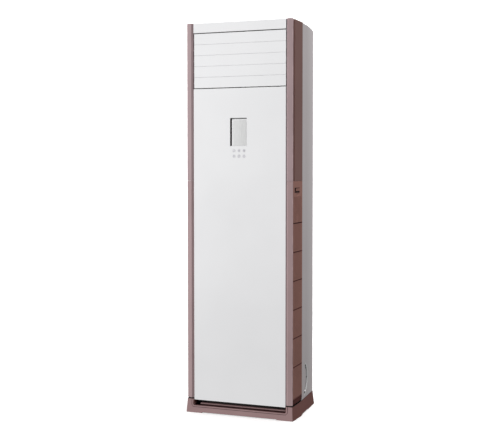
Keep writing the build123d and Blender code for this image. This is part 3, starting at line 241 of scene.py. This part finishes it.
def shade_over(tree, shader, where, shade):
    """Lay a slightly uneven tone on the finish where the mask is 1: painted shade, and in places a painted
    highlight.
    """
    uneven = 1.4
    lay_over(tree, shader, where,
             tone(tree, grain(tree, 30.0), shade, [uneven * part for part in shade]))


def relief(tree, shader, height, depth, edge=0.0):
    """Raise the surface by that depth in metres, over edges rounded by a small radius."""
    bump = tree.nodes.new("ShaderNodeBump")
    bump.inputs["Distance"].default_value = depth
    tree.links.new(height, bump.inputs["Height"])
    if edge:
        rounding = tree.nodes.new("ShaderNodeBevel")
        rounding.samples = 8
        rounding.inputs["Radius"].default_value = edge
        tree.links.new(rounding.outputs["Normal"], bump.inputs["Normal"])
    tree.links.new(bump.outputs["Normal"], shader.inputs["Normal"])


def dress(material, *names):
    """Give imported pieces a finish."""
    for name in names:
        nodes[name].data.materials.clear()
        nodes[name].data.materials.append(material)


def rose_plastic(name, face, flank, flank_start=1.0):
    """The rose-brown plastic, with a deeper, redder tone on the flanks: on what faces sideways,
    and on all that lies further back than flank_start. That tone is painted shade of the sides
    turned from the light."""
    material, tree, shader = new_finish(name, 0.58)
    shader.inputs["Specular IOR Level"].default_value = 0.3
    cloud = grain(tree, 5.0, detail=2.0)
    spark = grain(tree, 1600.0, detail=2.0)
    cloudy = 1.09
    shades = [tone(tree, cloud, colour, [cloudy * part for part in colour]) for colour in (face, flank)]
    side, back, up = axes(tree)
    turned = reckon(tree, "MAXIMUM", facing_sideways(tree),
                    rises(tree, back, flank_start, flank_start + 0.0004))
    tree.links.new(over(tree, turned, *shades), shader.inputs["Base Color"])
    tree.links.new(level(tree, spark, 0.52, 0.64), shader.inputs["Roughness"])
    relief(tree, shader, spark, depth=0.00012, edge=0.0015)
    return material, tree, shader


def base_rose():
    material, tree, shader = rose_plastic("base_rose", (0.302, 0.190, 0.190), (0.225, 0.095, 0.082))
    side, back, up = axes(tree)
    # painted shade colours: a dark one for the groove, a near black one for the gaps and the engraved line
    groove_painted_shade = (0.040, 0.012, 0.012)
    gap_painted_shade = (0.008, 0.005, 0.004)
    # painted shade in the groove between the lip and the sill
    between = falls(tree, side, 0.2185, 0.2195)
    inside_lip = reckon(tree, "MAXIMUM", rises(tree, up, 0.0320, 0.0330),
                        rises(tree, back, -0.1535, -0.1525))
    groove = overlap(tree, between, falls(tree, up, 0.0360, 0.0375), inside_lip,
                     rises(tree, back, -0.1600, -0.1580))
    shade_over(tree, shader, groove, groove_painted_shade)
    # painted shade in the gap behind the sill
    behind = overlap(tree, between, rises(tree, back, -0.1250, -0.1220),
                     falls(tree, back, -0.1038, -0.1034))
    # painted shade in the line engraved in the leaning front round the opening
    foot_front, lean = -0.165, 0.1129
    sunk = reckon(tree, "SUBTRACT", reckon(tree, "SUBTRACT", back, foot_front),
                  reckon(tree, "MULTIPLY", up, lean))
    rim = reckon(tree, "MAXIMUM", falls(tree, up, 0.0275, 0.0285), rises(tree, side, 0.2255, 0.2265))
    engraved = overlap(tree, rim, falls(tree, side, 0.2300, 0.2305),
                       rises(tree, sunk, 0.0004, 0.0009), falls(tree, back, -0.1500, -0.1495))
    # painted shade in the joint under the pillars
    joint = rises(tree, up, 0.0608, 0.0616)
    # one near black painted shade over the engraved line, the joint and the gap behind the sill
    dark = reckon(tree, "MAXIMUM", reckon(tree, "MAXIMUM", engraved, joint), behind)
    shade_over(tree, shader, dark, gap_painted_shade)
    return material


dress(base_rose(), "base")


# ---------------------------------------------------------------- upper pillars
# Moulded covers in the same plastic, clipped over the cabinet's front edges. Each has a pale
# face and a deeper, redder flank strip, whose tone is painted shade of the side turned from
# the light; a darker painted shade lies where the strip tucks in behind the face.
strip_start = -0.1502         # the flank strips lie behind this


def painted_corner_highlights(tree, shader):
    """A painted highlight on the rounded outer corners of the faces, where they catch the light."""
    side, back, up = axes(tree)
    corner = overlap(tree, rises(tree, side, 0.2465, 0.2485), falls(tree, back, -0.1506, strip_start))
    shade_over(tree, shader, corner, (0.410, 0.300, 0.310))


def upper_rose():
    material, tree, shader = rose_plastic("upper_rose", (0.375, 0.275, 0.285), (0.270, 0.150, 0.135),
                                          strip_start)
    painted_corner_highlights(tree, shader)
    side, back, up = axes(tree)
    # painted shade where the flank strip tucks in behind the face
    tucked_painted_shade = overlap(tree, rises(tree, back, -0.1520, -0.1500), falls(tree, back, -0.1420, -0.1320))
    shade_over(tree, shader, tucked_painted_shade, (0.150, 0.050, 0.040))
    return material


dress(upper_rose(), "left_upper_pillar", "right_upper_pillar")


# ---------------------------------------------------------------- intake grilles
# Moulded corners with a slotted strip, hung on two pins in the plinth and held above by a
# sprung latch. The strip's tone is redder than the pillars' and, as painted shade of the side,
# deeper than the face; painted shade darkens its foot, the rib lines and the latch's window.
def grille_rose():
    material, tree, shader = rose_plastic("grille_rose", (0.375, 0.265, 0.270), (0.408, 0.202, 0.167),
                                          strip_start)
    painted_corner_highlights(tree, shader)
    side, back, up = axes(tree)
    strip = rises(tree, back, strip_start, -0.1498)
    # painted shade at the foot of the strip
    foot = overlap(tree, strip, falls(tree, up, 0.0860, 0.0960))
    shade_over(tree, shader, foot, (0.085, 0.018, 0.013))
    # painted shade along the rib lines
    rib_first, rib_pitch = 0.234, 0.128
    from_rib = reckon(tree, "PINGPONG", reckon(tree, "SUBTRACT", up, rib_first), rib_pitch / 2)
    ribs = overlap(tree, strip, falls(tree, from_rib, 0.0022, 0.0032),
                   rises(tree, up, 0.20, 0.21), falls(tree, up, 0.95, 0.96))
    shade_over(tree, shader, ribs, (0.120, 0.030, 0.022))
    # painted shade in the latch's window, below the slanted surface of the strip
    strip_reach, strip_slant = 0.2596, 0.0745
    surface = reckon(tree, "ADD", reckon(tree, "MULTIPLY", back, strip_slant), strip_reach)
    depth = reckon(tree, "SUBTRACT", surface, side)
    window = overlap(tree, rises(tree, depth, 0.0011, 0.0014), falls(tree, depth, 0.0034, 0.0036),
                     rises(tree, up, 1.0086, 1.0090), falls(tree, up, 1.0380, 1.0384),
                     rises(tree, back, -0.1284, -0.1280), falls(tree, back, -0.0606, -0.0602))
    shade_over(tree, shader, window, (0.010, 0.004, 0.004))
    return material


dress(grille_rose(), "left_intake_grille", "right_intake_grille", "left_grille_latch", "right_grille_latch")


# ---------------------------------------------------------------- dust filters
# A snap-in frame with a woven nylon net behind each grille, in a dark red-brown that
# shows between the slots.
def filter_net():
    material, tree, shader = new_finish("filter_net", 0.75)
    weave = tree.nodes.new("ShaderNodeTexWave")
    weave.wave_type = "BANDS"
    weave.bands_direction = "DIAGONAL"
    weave.inputs["Scale"].default_value = 420.0
    tree.links.new(piece_place(tree), weave.inputs["Vector"])
    thread = weave.outputs["Fac"]
    tree.links.new(tone(tree, thread, (0.050, 0.018, 0.014), (0.115, 0.045, 0.036), 0.2, 0.8),
                   shader.inputs["Base Color"])
    relief(tree, shader, thread, depth=0.0004)
    return material


dress(filter_net(), "left_filter", "right_filter")


# ---------------------------------------------------------------- steel case
# Folded steel side panels, rear panel and top cover with an off-white powder coat, which
# has a faint orange peel. They hook into the plinth and are screwed along the rear edges.
def case_paint():
    material, tree, shader = new_finish("case_paint", 0.5)
    cloud = grain(tree, 2.2, detail=2.0)
    peel = grain(tree, 700.0, detail=1.0)
    side, back, up = axes(tree)
    tree.links.new(tone(tree, cloud, (0.720, 0.668, 0.676), (0.760, 0.708, 0.716)),
                   shader.inputs["Base Color"])
    # painted light: the side panels pale towards the rear edge
    rear_painted_light = overlap(tree, rises(tree, side, 0.2560, 0.2564), rises(tree, back, 0.045, 0.160))
    lay_over(tree, shader, rear_painted_light, tone(tree, cloud, (0.885, 0.830, 0.840), (0.930, 0.875, 0.885)))
    # painted highlight on the walls of the pressed crescent and on a band round its outer arc
    arc_back, arc_up, arc_radius = 0.00155, 0.1499, 0.0697
    chord_lean = 0.144
    from_centre = reckon(tree, "SQRT", reckon(
        tree, "ADD",
        reckon(tree, "POWER", reckon(tree, "SUBTRACT", back, arc_back), 2.0),
        reckon(tree, "POWER", reckon(tree, "SUBTRACT", up, arc_up), 2.0)))
    behind_chord = reckon(tree, "SUBTRACT", back, reckon(tree, "MULTIPLY", up, chord_lean))
    band = overlap(tree, rises(tree, from_centre, arc_radius - 0.0004, arc_radius),
                   falls(tree, from_centre, arc_radius + 0.009, arc_radius + 0.012),
                   rises(tree, behind_chord, 0.0, 0.004))
    walls = overlap(tree, falls(tree, side, 0.2564, 0.2568),
                    falls(tree, from_centre, arc_radius + 0.001, arc_radius + 0.002))
    lay_over(tree, shader, reckon(tree, "MAXIMUM", band, walls),
             tone(tree, cloud, (0.900, 0.890, 0.890), (0.930, 0.920, 0.920)))
    tree.links.new(level(tree, peel, 0.44, 0.56), shader.inputs["Roughness"])
    relief(tree, shader, peel, depth=0.00010, edge=0.0010)
    return material


dress(case_paint(), "left_side_panel", "right_side_panel", "rear_panel", "top_cover")


# ---------------------------------------------------------------- rear screws
# Zinc-plated pan-head screws with a cross recess. Seven go through the fold of each side
# panel into the rear panel, and two close the holes of the wall strap until it is fitted.
def zinc_steel():
    material, tree, shader = new_finish("zinc_steel", 0.34, metallic=1.0)
    wipe = grain(tree, 260.0, detail=4.0)
    tree.links.new(tone(tree, wipe, (0.52, 0.53, 0.55), (0.66, 0.67, 0.69)), shader.inputs["Base Color"])
    tree.links.new(level(tree, wipe, 0.28, 0.42), shader.inputs["Roughness"])
    relief(tree, shader, wipe, depth=0.00003)
    return material


def add_piece(name, shape, material, body):
    """Turn a finished shape into a piece that moves with a body."""
    mesh = bpy.data.meshes.new(name)
    bmesh.ops.recalc_face_normals(shape, faces=shape.faces)
    shape.to_mesh(mesh)
    shape.free()
    mesh.materials.append(material)
    piece = bpy.data.objects.new(name, mesh)
    bpy.context.scene.collection.objects.link(piece)
    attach(piece, body)
    return piece


def bridge(shape, loops):
    """Walls between closed loops of as many points each."""
    for low, high in zip(loops, loops[1:]):
        for i in range(len(low)):
            j = (i + 1) % len(low)
            shape.faces.new((low[i], low[j], high[j], high[i]))


def pan_head(shape, x, y, z):
    """One screw that looks to the back: shank, flat rim, dome and cross recess."""
    shank_radius, shank_length = 0.0017, 0.0060
    head_radius, head_rise = 0.0040, 0.0019
    profile = ((shank_radius, -shank_length), (shank_radius, 0.0), (head_radius, 0.0),
               (head_radius, 0.0009), (0.0034, 0.0016), (0.0023, head_rise))
    loops = []
    for radius, rise in profile:
        loops.append([shape.verts.new((x + radius * math.cos(math.radians(a)), y + rise,
                                       z + radius * math.sin(math.radians(a))))
                      for a in range(0, 360, 15)])
    shape.faces.new(loops[0])
    bridge(shape, loops)
    # the recess: a cross of four arms, sunk to a point
    arm, half, recess_floor = 0.0021, 0.00045, 0.0002
    cross = []
    for turn in range(4):
        c, s = math.cos(math.radians(90 * turn)), math.sin(math.radians(90 * turn))
        for u, v in ((arm, -half), (arm, half), (half, half)):
            cross.append(shape.verts.new((x + u * c - v * s, y + head_rise, z + u * s + v * c)))
    floor = shape.verts.new((x, y + recess_floor, z))
    for i in range(len(cross)):
        shape.faces.new((cross[i], cross[(i + 1) % len(cross)], floor))
    # the top of the head round the recess
    rim = loops[-1]
    step = len(rim) // 4
    for turn in range(4):
        start = turn * step
        sector = [rim[(start + k) % len(rim)] for k in range(step + 1)]
        a, b, c = [cross[(3 * turn + k) % 12] for k in (1, 2, 3)]
        shape.faces.new(sector + [c, b, a])
        shape.faces.new((rim[start], a, cross[3 * turn]))


def fold_screws():
    """The two rows down the rear edges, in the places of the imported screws."""
    count, head_radius, head_rise = 7, 0.004, 0.002
    low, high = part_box("panel_screws")
    first, last = low.z + head_radius, high.z - head_radius
    shape = bmesh.new()
    for x in (low.x + head_radius, high.x - head_radius):
        for i in range(count):
            pan_head(shape, x, high.y - head_rise, first + (last - first) * i / (count - 1))
    return shape


def strap_screws():
    """The pair in the holes of the wall strap."""
    strap_reach, strap_drop = 0.150, 0.040
    low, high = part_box("rear_panel")
    shape = bmesh.new()
    for x in (-strap_reach, strap_reach):
        pan_head(shape, x, high.y, high.z - strap_drop)
    return shape


zinc = zinc_steel()
screws = add_piece("pan_head_screws", fold_screws(), zinc, "cabinet")
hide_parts("panel_screws")
add_piece("strap_hole_screws", strap_screws(), zinc, "cabinet")


# ---------------------------------------------------------------- rubber parts
# A moulded grommet that lines the pipe hole, and in each side panel's crescent a dark
# rubber strip with three oval buttons. Strip and buttons are painted shade as dark pieces:
# they stand for the shade along the crescent's inner edge and in its slits.
def grommet_rubber():
    material, tree, shader = new_finish("grommet_rubber", 0.8)
    bloom = grain(tree, 90.0, detail=3.0)
    tree.links.new(tone(tree, bloom, (0.018, 0.018, 0.019), (0.034, 0.034, 0.036)),
                   shader.inputs["Base Color"])
    tree.links.new(level(tree, bloom, 0.70, 0.88), shader.inputs["Roughness"])
    relief(tree, shader, grain(tree, 1200.0, detail=1.0), depth=0.0001)
    return material


def along_curve(points, height):
    """How far back the curve through three points is at a height."""
    back = 0.0
    for own in points:
        share = own[0]
        for other in points:
            if other != own:
                share *= (height - other[1]) / (own[1] - other[1])
        back += share
    return back


def crescent_shade_strip(side):
    """A dark strip along the crescent's inner edge on one side, with its three buttons: painted shade as a
    dark piece.
    """
    shape = bmesh.new()
    floor, face = 0.2512, 0.2570
    half_width, chamfer = 0.0040, 0.0008
    section = ((floor, -half_width), (face - chamfer, -half_width), (face, chamfer - half_width),
               (face, half_width - chamfer), (face - chamfer, half_width), (floor, half_width))
    buttons = ((0.0335, 0.2090), (0.0500, 0.1525), (0.0190, 0.0875))
    top, bottom = buttons[0][1], buttons[-1][1]
    rows = []
    for i in range(2, 23):
        z = top + (bottom - top) * i / 24
        y = along_curve(buttons, z)
        rows.append([shape.verts.new((side * x, y + across, z)) for x, across in section])
    bridge(shape, rows)
    shape.faces.new(rows[0])
    shape.faces.new(rows[-1])
    half_length, half_height = 0.0075, 0.0045
    for y, z in buttons:
        rings = []
        for x, grow in ((face, 1.0), (face + 0.0006, 1.0), (face + 0.0010, 0.85)):
            rings.append([shape.verts.new((side * x, y + half_length * grow * math.cos(math.radians(a)),
                                           z + half_height * grow * math.sin(math.radians(a))))
                          for a in range(0, 360, 15)])
        bridge(shape, rings)
        shape.faces.new(rings[0])
        shape.faces.new(rings[-1])
    return shape


rubber = grommet_rubber()
dress(rubber, "pipe_grommet")
for name, side in (("left", -1), ("right", 1)):
    add_piece(name + "_crescent_shade_strip", crescent_shade_strip(side), rubber, "cabinet")


# ---------------------------------------------------------------- white front
# Cap, louvres and front panel: injection-moulded plastic with a satin white lacquer. The
# panel hooks on the plinth's sill; the louvres turn on pins in the outlet's side plates.
def white_lacquer():
    material, tree, shader = new_finish("white_lacquer", 0.4)
    shader.inputs["Specular IOR Level"].default_value = 0.3
    cloud = grain(tree, 3.0, detail=2.0)
    dust = grain(tree, 900.0, detail=2.0)
    tree.links.new(tone(tree, cloud, (0.815, 0.815, 0.825), (0.845, 0.845, 0.855)),
                   shader.inputs["Base Color"])
    tree.links.new(level(tree, dust, 0.36, 0.46), shader.inputs["Roughness"])
    relief(tree, shader, dust, depth=0.00003, edge=0.0008)
    return material


white = white_lacquer()
dress(white, "front_panel", "outlet_cap", *["louver_%d" % i for i in range(1, 6)])


# ---------------------------------------------------------------- display
# A black tray behind the opening holds a white block with a pale grey lens, which leaves
# a dark joint to the left and above it. The tray's black there is painted shade, standing
# for the shadow that the opening's left and top walls cast on the lens.
def tray_shade_black():
    material, tree, shader = new_finish("tray_shade_black", 0.6)
    spark = grain(tree, 1500.0, detail=2.0)
    tree.links.new(tone(tree, spark, (0.026, 0.016, 0.016), (0.040, 0.028, 0.028)),
                   shader.inputs["Base Color"])
    tree.links.new(level(tree, spark, 0.52, 0.68), shader.inputs["Roughness"])
    # painted highlight on the top wall, where it catches the light
    window_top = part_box("display_window")[1].z
    side, back, up = axes(tree)
    shade_over(tree, shader, rises(tree, up, window_top, window_top + 0.0004), (0.170, 0.170, 0.170))
    relief(tree, shader, spark, depth=0.0001)
    return material


def lens_grey():
    """Paler towards the left and greyer towards the right, with fine upright streaks."""
    material, tree, shader = new_finish("lens_grey", 0.22)
    streak = grain(tree, 60.0, detail=3.0, stretch=(14.0, 1.0, 0.6))
    # the lens runs from paler on the left to greyer on the right
    clear = tone(tree, streak, (0.710, 0.715, 0.715), (0.800, 0.800, 0.800), 0.3, 0.7)
    greyer_right = tone(tree, streak, (0.620, 0.625, 0.625), (0.700, 0.700, 0.700), 0.3, 0.7)
    across = tree.nodes.new("ShaderNodeSeparateXYZ")
    tree.links.new(piece_place(tree), across.inputs["Vector"])
    rightward = rises(tree, across.outputs["X"], -0.030, 0.036)
    tree.links.new(over(tree, rightward, clear, greyer_right), shader.inputs["Base Color"])
    tree.links.new(level(tree, streak, 0.16, 0.30), shader.inputs["Roughness"])
    shader.inputs["Coat Weight"].default_value = 0.3
    shader.inputs["Coat Roughness"].default_value = 0.08
    relief(tree, shader, streak, depth=0.00002)
    return material


def rounded_plate(left, right, bottom, top, front, rear, radius):
    """A plate in the front's plane with round corners and a softened front edge."""
    soft = 0.0003
    shape = bmesh.new()
    loops = []
    for inset, y in ((0.0, rear), (0.0, front + soft), (soft, front)):
        ring = []
        for x, z, first in ((right - radius, top - radius, 0), (left + radius, top - radius, 90),
                            (left + radius, bottom + radius, 180), (right - radius, bottom + radius, 270)):
            for a in range(first, first + 91, 15):
                reach = radius - inset
                ring.append(shape.verts.new((x + reach * math.cos(math.radians(a)), y,
                                             z + reach * math.sin(math.radians(a)))))
        loops.append(ring)
    bridge(shape, loops)
    shape.faces.new(loops[0])
    shape.faces.new(loops[-1])
    return shape


dress(tray_shade_black(), "display_housing")
dress(white, "display_window")
block_low, block_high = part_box("display_window")
left_rim, right_rim, bottom_rim, top_rim = 0.0062, 0.0008, 0.0012, 0.0045
lens_proud, lens_sunk = 0.0004, 0.0002
lens = rounded_plate(block_low.x + left_rim, block_high.x - right_rim,
                     block_low.z + bottom_rim, block_high.z - top_rim,
                     block_low.y - lens_proud, block_low.y + lens_sunk, radius=0.0015)
add_piece("screen_lens", lens, lens_grey(), "cabinet")


# ---------------------------------------------------------------- keys
# Six round keycaps in pale translucent plastic with lilac-grey signs printed on them:
# power, mode, fan, swing, warmer and cooler.
def keycap_plastic():
    material, tree, shader = new_finish("keycap_plastic", 0.35)
    cloud = grain(tree, 300.0, detail=2.0)
    tree.links.new(tone(tree, cloud, (0.770, 0.768, 0.785), (0.805, 0.803, 0.820)),
                   shader.inputs["Base Color"])
    tree.links.new(level(tree, cloud, 0.30, 0.42), shader.inputs["Roughness"])
    shader.inputs["Subsurface Weight"].default_value = 0.15
    shader.inputs["Subsurface Radius"].default_value = (0.002, 0.002, 0.002)
    relief(tree, shader, cloud, depth=0.00003)
    return material


def sign_ink():
    material, tree, shader = new_finish("sign_ink", 0.5)
    speck = grain(tree, 2500.0, detail=2.0)
    tree.links.new(tone(tree, speck, (0.420, 0.405, 0.460), (0.480, 0.465, 0.520)),
                   shader.inputs["Base Color"])
    tree.links.new(level(tree, speck, 0.42, 0.58), shader.inputs["Roughness"])
    relief(tree, shader, speck, depth=0.00002)
    return material


def ring_part(inner, outer, start, end):
    """Outline of a stretch of a ring, between two angles in degrees."""
    steps = max(3, int(abs(end - start) / 15))
    angles = [math.radians(start + (end - start) * i / steps) for i in range(steps + 1)]
    out = [(outer * math.cos(a), outer * math.sin(a)) for a in angles]
    back = [(inner * math.cos(a), inner * math.sin(a)) for a in reversed(angles)]
    return out + back


def disc(radius):
    """Outline of a disc."""
    return [(radius * math.cos(math.radians(a)), radius * math.sin(math.radians(a)))
            for a in range(0, 360, 20)]


def bar(width, height, z=0.0):
    """Outline of a level bar at a height above the middle."""
    return [(-width / 2, z - height / 2), (width / 2, z - height / 2),
            (width / 2, z + height / 2), (-width / 2, z + height / 2)]


def plus(length, width):
    """Outline of a plus sign."""
    reach, half = length / 2, width / 2
    corner = [(reach, -half), (reach, half), (half, half)]
    return [(x * c - z * s, x * s + z * c)
            for c, s in ((1, 0), (0, 1), (-1, 0), (0, -1)) for x, z in corner]


def fan_blade(turn):
    """Outline of one blade of the fan sign."""
    points = [(1.3, 0.3), (2.3, 2.5), (3.9, 2.6), (4.4, 0.6), (2.6, -0.5), (1.3, -0.3)]
    c, s = math.cos(math.radians(turn)), math.sin(math.radians(turn))
    return [(x * c - z * s, x * s + z * c) for x, z in points]


signs = {
    "power": [ring_part(3.1, 4.3, 125, 415), bar(1.2, 3.6, 3.0)],
    "mode": [disc(2.6)] + [ring_part(3.5, 4.9, turn - 11, turn + 11) for turn in range(0, 360, 45)],
    "fan_speed": [fan_blade(turn) for turn in range(30, 360, 72)] + [disc(1.0)],
    "swing": [ring_part(4.2, 5.4, 40, 140), ring_part(1.8, 3.2, 30, 150),
              bar(9.0, 1.2, -2.6), bar(6.0, 1.2, -0.4)],
    "warmer": [ring_part(3.7, 4.9, 0, 359), plus(4.2, 1.2)],
    "cooler": [ring_part(3.7, 4.9, 0, 359), bar(4.2, 1.4)],
}
sign_unit = 0.00122           # metres for a unit of these outlines
ink_proud, ink_sunk = 0.00012, 0.0002
keycaps = keycap_plastic()
ink = sign_ink()
for key, outlines in signs.items():
    dress(keycaps, "key_" + key)
    low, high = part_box("key_" + key)
    middle_x, middle_z = (low.x + high.x) / 2, (low.z + high.z) / 2
    print_shape = bmesh.new()
    for outline in outlines:
        front, back = [[print_shape.verts.new((middle_x + sign_unit * x, y, middle_z + sign_unit * z))
                        for x, z in outline] for y in (low.y - ink_proud, low.y + ink_sunk)]
        print_shape.faces.new(front)
        print_shape.faces.new(back)
        bridge(print_shape, (front, back))
    add_piece(key + "_sign", print_shape, ink, "key_" + key)


# ---------------------------------------------------------------- circuit boards
# Green lacquered boards with etched traces, screwed to their bosses: one behind the keys,
# one in the electric box.
def board_green():
    material, tree, shader = new_finish("board_green", 0.35)
    traces = tree.nodes.new("ShaderNodeTexBrick")
    traces.inputs["Color1"].default_value = (0.012, 0.105, 0.050, 1.0)
    traces.inputs["Color2"].default_value = (0.016, 0.130, 0.060, 1.0)
    traces.inputs["Mortar"].default_value = (0.060, 0.260, 0.120, 1.0)
    traces.inputs["Scale"].default_value = 70.0
    traces.inputs["Mortar Size"].default_value = 0.03
    upright = tree.nodes.new("ShaderNodeMapping")
    upright.inputs["Rotation"].default_value = (math.radians(90.0), 0.0, 0.0)
    tree.links.new(piece_place(tree), upright.inputs["Vector"])
    tree.links.new(upright.outputs["Vector"], traces.inputs["Vector"])
    tree.links.new(traces.outputs["Color"], shader.inputs["Base Color"])
    tree.links.new(level(tree, grain(tree, 400.0), 0.28, 0.44), shader.inputs["Roughness"])
    relief(tree, shader, traces.outputs["Fac"], depth=0.00005)
    return material


dress(board_green(), "control_board", "main_board")


# ---------------------------------------------------------------- inner frame and air duct
# Folded galvanised sheet: columns, base pan, duct walls, the fan's volute, the outlet's
# sides and roof, the coil's end plates and the electric box, screwed to one another.
def galvanised():
    material, tree, shader = new_finish("galvanised", 0.4, metallic=1.0)
    spangle = tree.nodes.new("ShaderNodeTexVoronoi")
    spangle.inputs["Scale"].default_value = 95.0
    tree.links.new(piece_place(tree), spangle.inputs["Vector"])
    cells = tree.nodes.new("ShaderNodeSeparateColor")
    tree.links.new(spangle.outputs["Color"], cells.inputs["Color"])
    tree.links.new(tone(tree, cells.outputs["Red"], (0.50, 0.52, 0.54), (0.66, 0.67, 0.69), 0.0, 1.0),
                   shader.inputs["Base Color"])
    tree.links.new(level(tree, cells.outputs["Green"], 0.30, 0.50, 0.0, 1.0), shader.inputs["Roughness"])
    relief(tree, shader, grain(tree, 500.0), depth=0.00003)
    return material


dress(galvanised(), "base_pan", "front_columns", "duct_divider", "duct_front", "volute_scroll",
      "volute_front", "electric_box", "outlet_sides", "outlet_roof", "coil_end_plates")


# ---------------------------------------------------------------- duct liners
# Moulded polystyrene foam stuck to the duct's walls against sweating, with the cells of
# the beads on its surface.
def bead_foam():
    material, tree, shader = new_finish("bead_foam", 0.9)
    beads = tree.nodes.new("ShaderNodeTexVoronoi")
    beads.inputs["Scale"].default_value = 260.0
    tree.links.new(piece_place(tree), beads.inputs["Vector"])
    from_middle = beads.outputs["Distance"]
    # painted shade: darker in the hollows between the beads, paler on their crowns
    tree.links.new(tone(tree, from_middle, (0.86, 0.86, 0.85), (0.70, 0.70, 0.69), 0.1, 0.7),
                   shader.inputs["Base Color"])
    tree.links.new(level(tree, from_middle, 0.82, 0.95), shader.inputs["Roughness"])
    relief(tree, shader, falls(tree, from_middle, 0.0, 0.8), depth=0.0006)
    return material


dress(bead_foam(), "duct_foam")


# ---------------------------------------------------------------- vanes, links and motors
# Pale grey moulded vanes turn the air to the left and right; a bar links them, and
# another bar links the louvres. Small geared motors in painted cans drive both rows.
def vane_plastic():
    material, tree, shader = new_finish("vane_plastic", 0.5)
    spark = grain(tree, 1200.0, detail=2.0)
    tree.links.new(tone(tree, spark, (0.60, 0.60, 0.605), (0.68, 0.68, 0.685)),
                   shader.inputs["Base Color"])
    tree.links.new(level(tree, spark, 0.42, 0.56), shader.inputs["Roughness"])
    relief(tree, shader, spark, depth=0.00005, edge=0.0005)
    return material


def motor_paint():
    material, tree, shader = new_finish("motor_paint", 0.45)
    speck = grain(tree, 800.0, detail=3.0)
    tree.links.new(tone(tree, speck, (0.045, 0.047, 0.050), (0.085, 0.087, 0.092)),
                   shader.inputs["Base Color"])
    tree.links.new(level(tree, speck, 0.36, 0.54), shader.inputs["Roughness"])
    relief(tree, shader, speck, depth=0.00006)
    return material


painted_can = motor_paint()
dress(vane_plastic(), "vane_link", "louver_link", *["vane_%d" % i for i in range(1, 6)])
dress(painted_can, "louver_motor", "vane_motor")


# ---------------------------------------------------------------- fan
# Forward-curved wheel in black glass-filled plastic, pressed on the bright shaft of a
# painted motor and held by a nut.
def fan_plastic():
    material, tree, shader = new_finish("fan_plastic", 0.55)
    fibre = grain(tree, 350.0, detail=4.0, stretch=(1.0, 0.25, 1.0))
    tree.links.new(tone(tree, fibre, (0.028, 0.029, 0.031), (0.060, 0.061, 0.065)),
                   shader.inputs["Base Color"])
    tree.links.new(level(tree, fibre, 0.45, 0.66), shader.inputs["Roughness"])
    relief(tree, shader, fibre, depth=0.00008)
    return material


dress(fan_plastic(), "fan_wheel")
dress(painted_can, "fan_motor")
dress(zinc, "motor_shaft")


# ---------------------------------------------------------------- cooling coil
# Thin aluminium fins on copper tubes between two end plates. The fins stand 2 mm apart
# and lean back with the coil.
def fin_aluminium():
    material, tree, shader = new_finish("fin_aluminium", 0.32, metallic=1.0)
    stroke = grain(tree, 200.0, detail=3.0, stretch=(1.0, 1.0, 0.1))
    tree.links.new(tone(tree, stroke, (0.70, 0.72, 0.75), (0.82, 0.84, 0.86)),
                   shader.inputs["Base Color"])
    tree.links.new(level(tree, stroke, 0.24, 0.40), shader.inputs["Roughness"])
    relief(tree, shader, stroke, depth=0.00004)
    return material


def copper():
    material, tree, shader = new_finish("copper", 0.3, metallic=1.0)
    tarnish = grain(tree, 38.0, detail=5.0)
    tree.links.new(tone(tree, tarnish, (0.46, 0.19, 0.10), (0.80, 0.42, 0.27), 0.3, 0.6),
                   shader.inputs["Base Color"])
    tree.links.new(level(tree, tarnish, 0.46, 0.24), shader.inputs["Roughness"])
    relief(tree, shader, grain(tree, 500.0), depth=0.00002)
    return material


def coil_fin_stack():
    """Single fins in the space of the coil's block, leaning back with it."""
    fin_pitch, fin_thickness = 0.002, 0.00016
    corners = [vertex.co for vertex in nodes["coil_fins"].data.vertices]
    foot_front = min(corners, key=lambda point: point.y)
    foot_rear = min(corners, key=lambda point: point.z)
    head_rear = max(corners, key=lambda point: point.y)
    head_front = max(corners, key=lambda point: point.z)
    outline = [foot_front, foot_rear, head_rear, head_front]
    low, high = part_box("coil_fins")
    shape = bmesh.new()
    for i in range(int((high.x - low.x) / fin_pitch)):
        middle = low.x + fin_pitch * (i + 0.5)
        near, far = [[shape.verts.new((x, point.y, point.z)) for point in outline]
                     for x in (middle - fin_thickness / 2, middle + fin_thickness / 2)]
        shape.faces.new(near)
        shape.faces.new(far)
        bridge(shape, (near, far))
    return shape


fins = add_piece("coil_fin_stack", coil_fin_stack(), fin_aluminium(), "cabinet")
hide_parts("coil_fins")
dress(copper(), "coil_tubes", "refrigerant_pipes")


# ---------------------------------------------------------------- drain
# White moulded pan under the coil, and a grey ribbed hose that leads the water down.
# The hose is pushed over the pan's spout.
def pan_plastic():
    material, tree, shader = new_finish("pan_plastic", 0.5)
    spark = grain(tree, 900.0, detail=2.0)
    tree.links.new(tone(tree, spark, (0.72, 0.72, 0.70), (0.80, 0.80, 0.78)), shader.inputs["Base Color"])
    tree.links.new(level(tree, spark, 0.44, 0.58), shader.inputs["Roughness"])
    relief(tree, shader, spark, depth=0.00006)
    return material


def hose_grey():
    material, tree, shader = new_finish("hose_grey", 0.6)
    ribs = tree.nodes.new("ShaderNodeTexWave")
    ribs.bands_direction = "Z"
    ribs.inputs["Scale"].default_value = 80.0
    tree.links.new(piece_place(tree), ribs.inputs["Vector"])
    rise = ribs.outputs["Fac"]
    # painted shade: the hollows between the ribs are darker, the crests paler
    tree.links.new(tone(tree, rise, (0.36, 0.37, 0.37), (0.54, 0.55, 0.55), 0.1, 0.9),
                   shader.inputs["Base Color"])
    tree.links.new(level(tree, rise, 0.66, 0.50), shader.inputs["Roughness"])
    relief(tree, shader, rise, depth=0.0008)
    return material


dress(pan_plastic(), "drain_pan")
dress(hose_grey(), "drain_hose")
